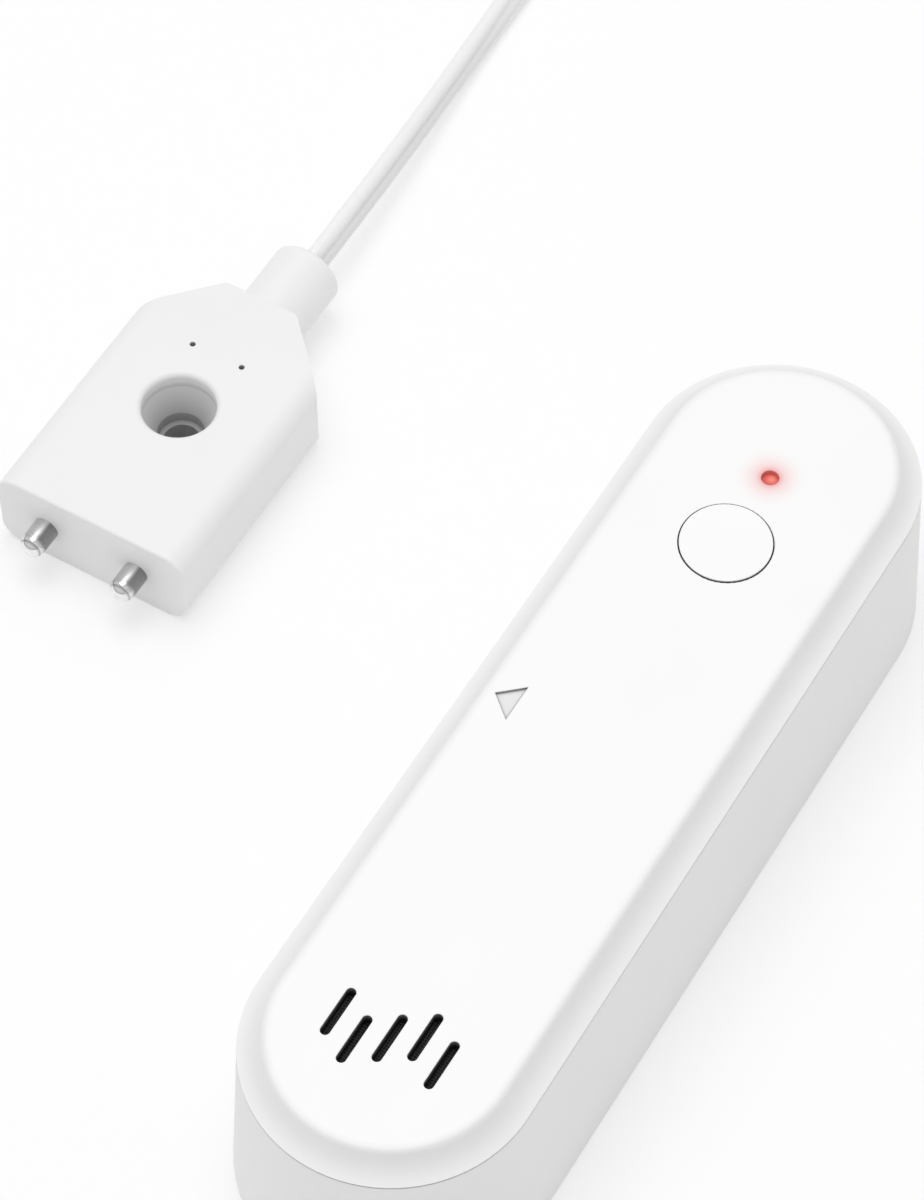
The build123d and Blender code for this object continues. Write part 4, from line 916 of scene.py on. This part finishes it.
def make_lead():
    path = centreline()
    outline = lead_section()
    count = len(outline)
    vertices = lead_rings(path, outline)
    mesh = bpy.data.meshes.new("probe_lead")
    mesh.from_pydata([tuple(vertex) for vertex in vertices], [], tube_faces(len(path), count))
    mesh.validate()
    # Mark the points of the core that carries the painted shade
    shade_stripe = mesh.attributes.new(SHADE_STRIPE, "FLOAT", "POINT")
    for index in range(len(vertices)):
        shade_stripe.data[index].value = float(SHADE_STRIPE_FROM <= index % count <= SHADE_STRIPE_TO)
    for polygon in mesh.polygons:
        polygon.use_smooth = len(polygon.vertices) == 4
    lead = bpy.data.objects.new("probe_lead", mesh)
    bpy.context.collection.objects.link(lead)
    mesh.materials.append(jacket())
    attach(lead, MAIN)
    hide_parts("probe_cord", "cord_coil", "cord_tail")


# Floor and light


def floor_white():
    """White floor that keeps its shadows, and shows white to the eye and in reflections."""
    mat = bpy.data.materials.new("floor_white")
    mat.use_nodes = True
    tree = mat.node_tree
    tree.nodes.clear()
    diffuse = tree.nodes.new("ShaderNodeBsdfDiffuse")
    diffuse.inputs["Color"].default_value = (*rgb(FLOOR_TONE), 1)
    glow = tree.nodes.new("ShaderNodeEmission")
    rays = tree.nodes.new("ShaderNodeLightPath").outputs
    seen = math_node(tree, "MAXIMUM", rays["Is Camera Ray"], rays["Is Glossy Ray"])
    seen = math_node(tree, "MAXIMUM", seen, rays["Is Transmission Ray"])
    mix = tree.nodes.new("ShaderNodeMixShader")
    out = tree.nodes.new("ShaderNodeOutputMaterial")
    tree.links.new(times(tree, seen, FLOOR_GLOW_SHARE), mix.inputs["Fac"])
    tree.links.new(diffuse.outputs[0], mix.inputs[1])
    tree.links.new(glow.outputs[0], mix.inputs[2])
    tree.links.new(mix.outputs[0], out.inputs["Surface"])
    return mat


def make_floor():
    signs = ((-1, -1), (1, -1), (1, 1), (-1, 1))
    corners = [(x * FLOOR_REACH, y * FLOOR_REACH, -FLOOR_BELOW) for x, y in signs]
    mesh = bpy.data.meshes.new("floor")
    mesh.from_pydata(corners, [], [(0, 1, 2, 3)])
    floor = bpy.data.objects.new("floor", mesh)
    bpy.context.collection.objects.link(floor)
    mesh.materials.append(floor_white())


def make_lamp():
    """One large soft lamp overhead, aimed at the middle of the unit."""
    lamp = bpy.data.lights.new("softbox_top", "AREA")
    lamp.shape = "SQUARE"
    lamp.size = LAMP_SIZE
    lamp.energy = LAMP_POWER
    thing = bpy.data.objects.new("softbox_top", lamp)
    thing.location = LAMP_AT
    thing.rotation_euler = (-Vector(LAMP_AT)).to_track_quat("-Z", "Y").to_euler()
    bpy.context.collection.objects.link(thing)


def make_world():
    """Even studio light, a little dimmer towards the horizon."""
    world = bpy.data.worlds.new("studio")
    world.use_nodes = True
    tree = world.node_tree
    coord = tree.nodes.new("ShaderNodeTexCoord")
    _, _, z = xyz(tree, coord.outputs["Generated"])
    background = tree.nodes["Background"]
    tree.links.new(ramp(tree, z, SKY_SHARES), background.inputs["Color"])
    background.inputs["Strength"].default_value = SKY_STRENGTH
    bpy.context.scene.world = world


# Materials of the CAD nodes


def assign(mat, *nodes):
    """Give CAD nodes a material."""
    for name in nodes:
        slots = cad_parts[name].data.materials
        slots.clear()
        slots.append(mat)


def dress_outside():
    assign(cover_plastic(), "top_cover")
    assign(button_plastic(), "push_button")
    assign(base_plastic(), "base_shell")
    assign(door_plastic(), "battery_door")
    assign(probe_plastic(), "probe_body", "probe_base_cover")
    assign(collar_plastic(), "strain_relief_collar")
    assign(handle_plastic(), "plug_handle")
    assign(tie_plastic(), "coil_tie")
    assign(pin_steel(), "sensing_pins")
    assign(plug_nickel(), "plug_sleeve", "plug_tip")
    assign(moulded_black("ring_black"), "plug_ring")
    assign(lit_guide(), "light_guide")
    assign(led_red(), "status_led")


def dress_inside():
    contacts = ("battery_plus_contact", "battery_minus_contact", "battery_link_contact")
    black_parts = ("sounder_case", "switch_body", "switch_plunger", "socket_body")
    assign(screw_steel(), "case_screws", "board_screws")
    assign(contact_nickel(), *contacts, "socket_contacts", "pin_crimps")
    assign(shield_tin(), "radio_shield", "capacitors")
    assign(copper_wire(), "sounder_coil_winding", "aerial_wire")
    assign(brass_plate(), "sounder_plate")
    assign(ceramic_grey(), "sounder_ceramic")
    assign(foam_black(), "sounder_foam")
    assign(mesh_black(), "sound_mesh")
    assign(board_green(), "circuit_board", "radio_module")
    assign(epoxy_black(), "processor_chip", "small_chips", "sounder_coil_core")
    assign(moulded_black("inner_black"), *black_parts)
    assign(seal_rubber(), "cover_seal")
    assign(cell_jacket("battery_left", 1), "battery_left")
    assign(cell_jacket("battery_right", -1), "battery_right")
    assign(moulded("inner_lead_jacket", 0.85, roughness=0.4)[0], "inner_leads")


place_camera()
make_lead()
make_floor()
dress_outside()
dress_inside()
make_world()
make_lamp()
bpy.context.scene.view_settings.view_transform = "Standard"
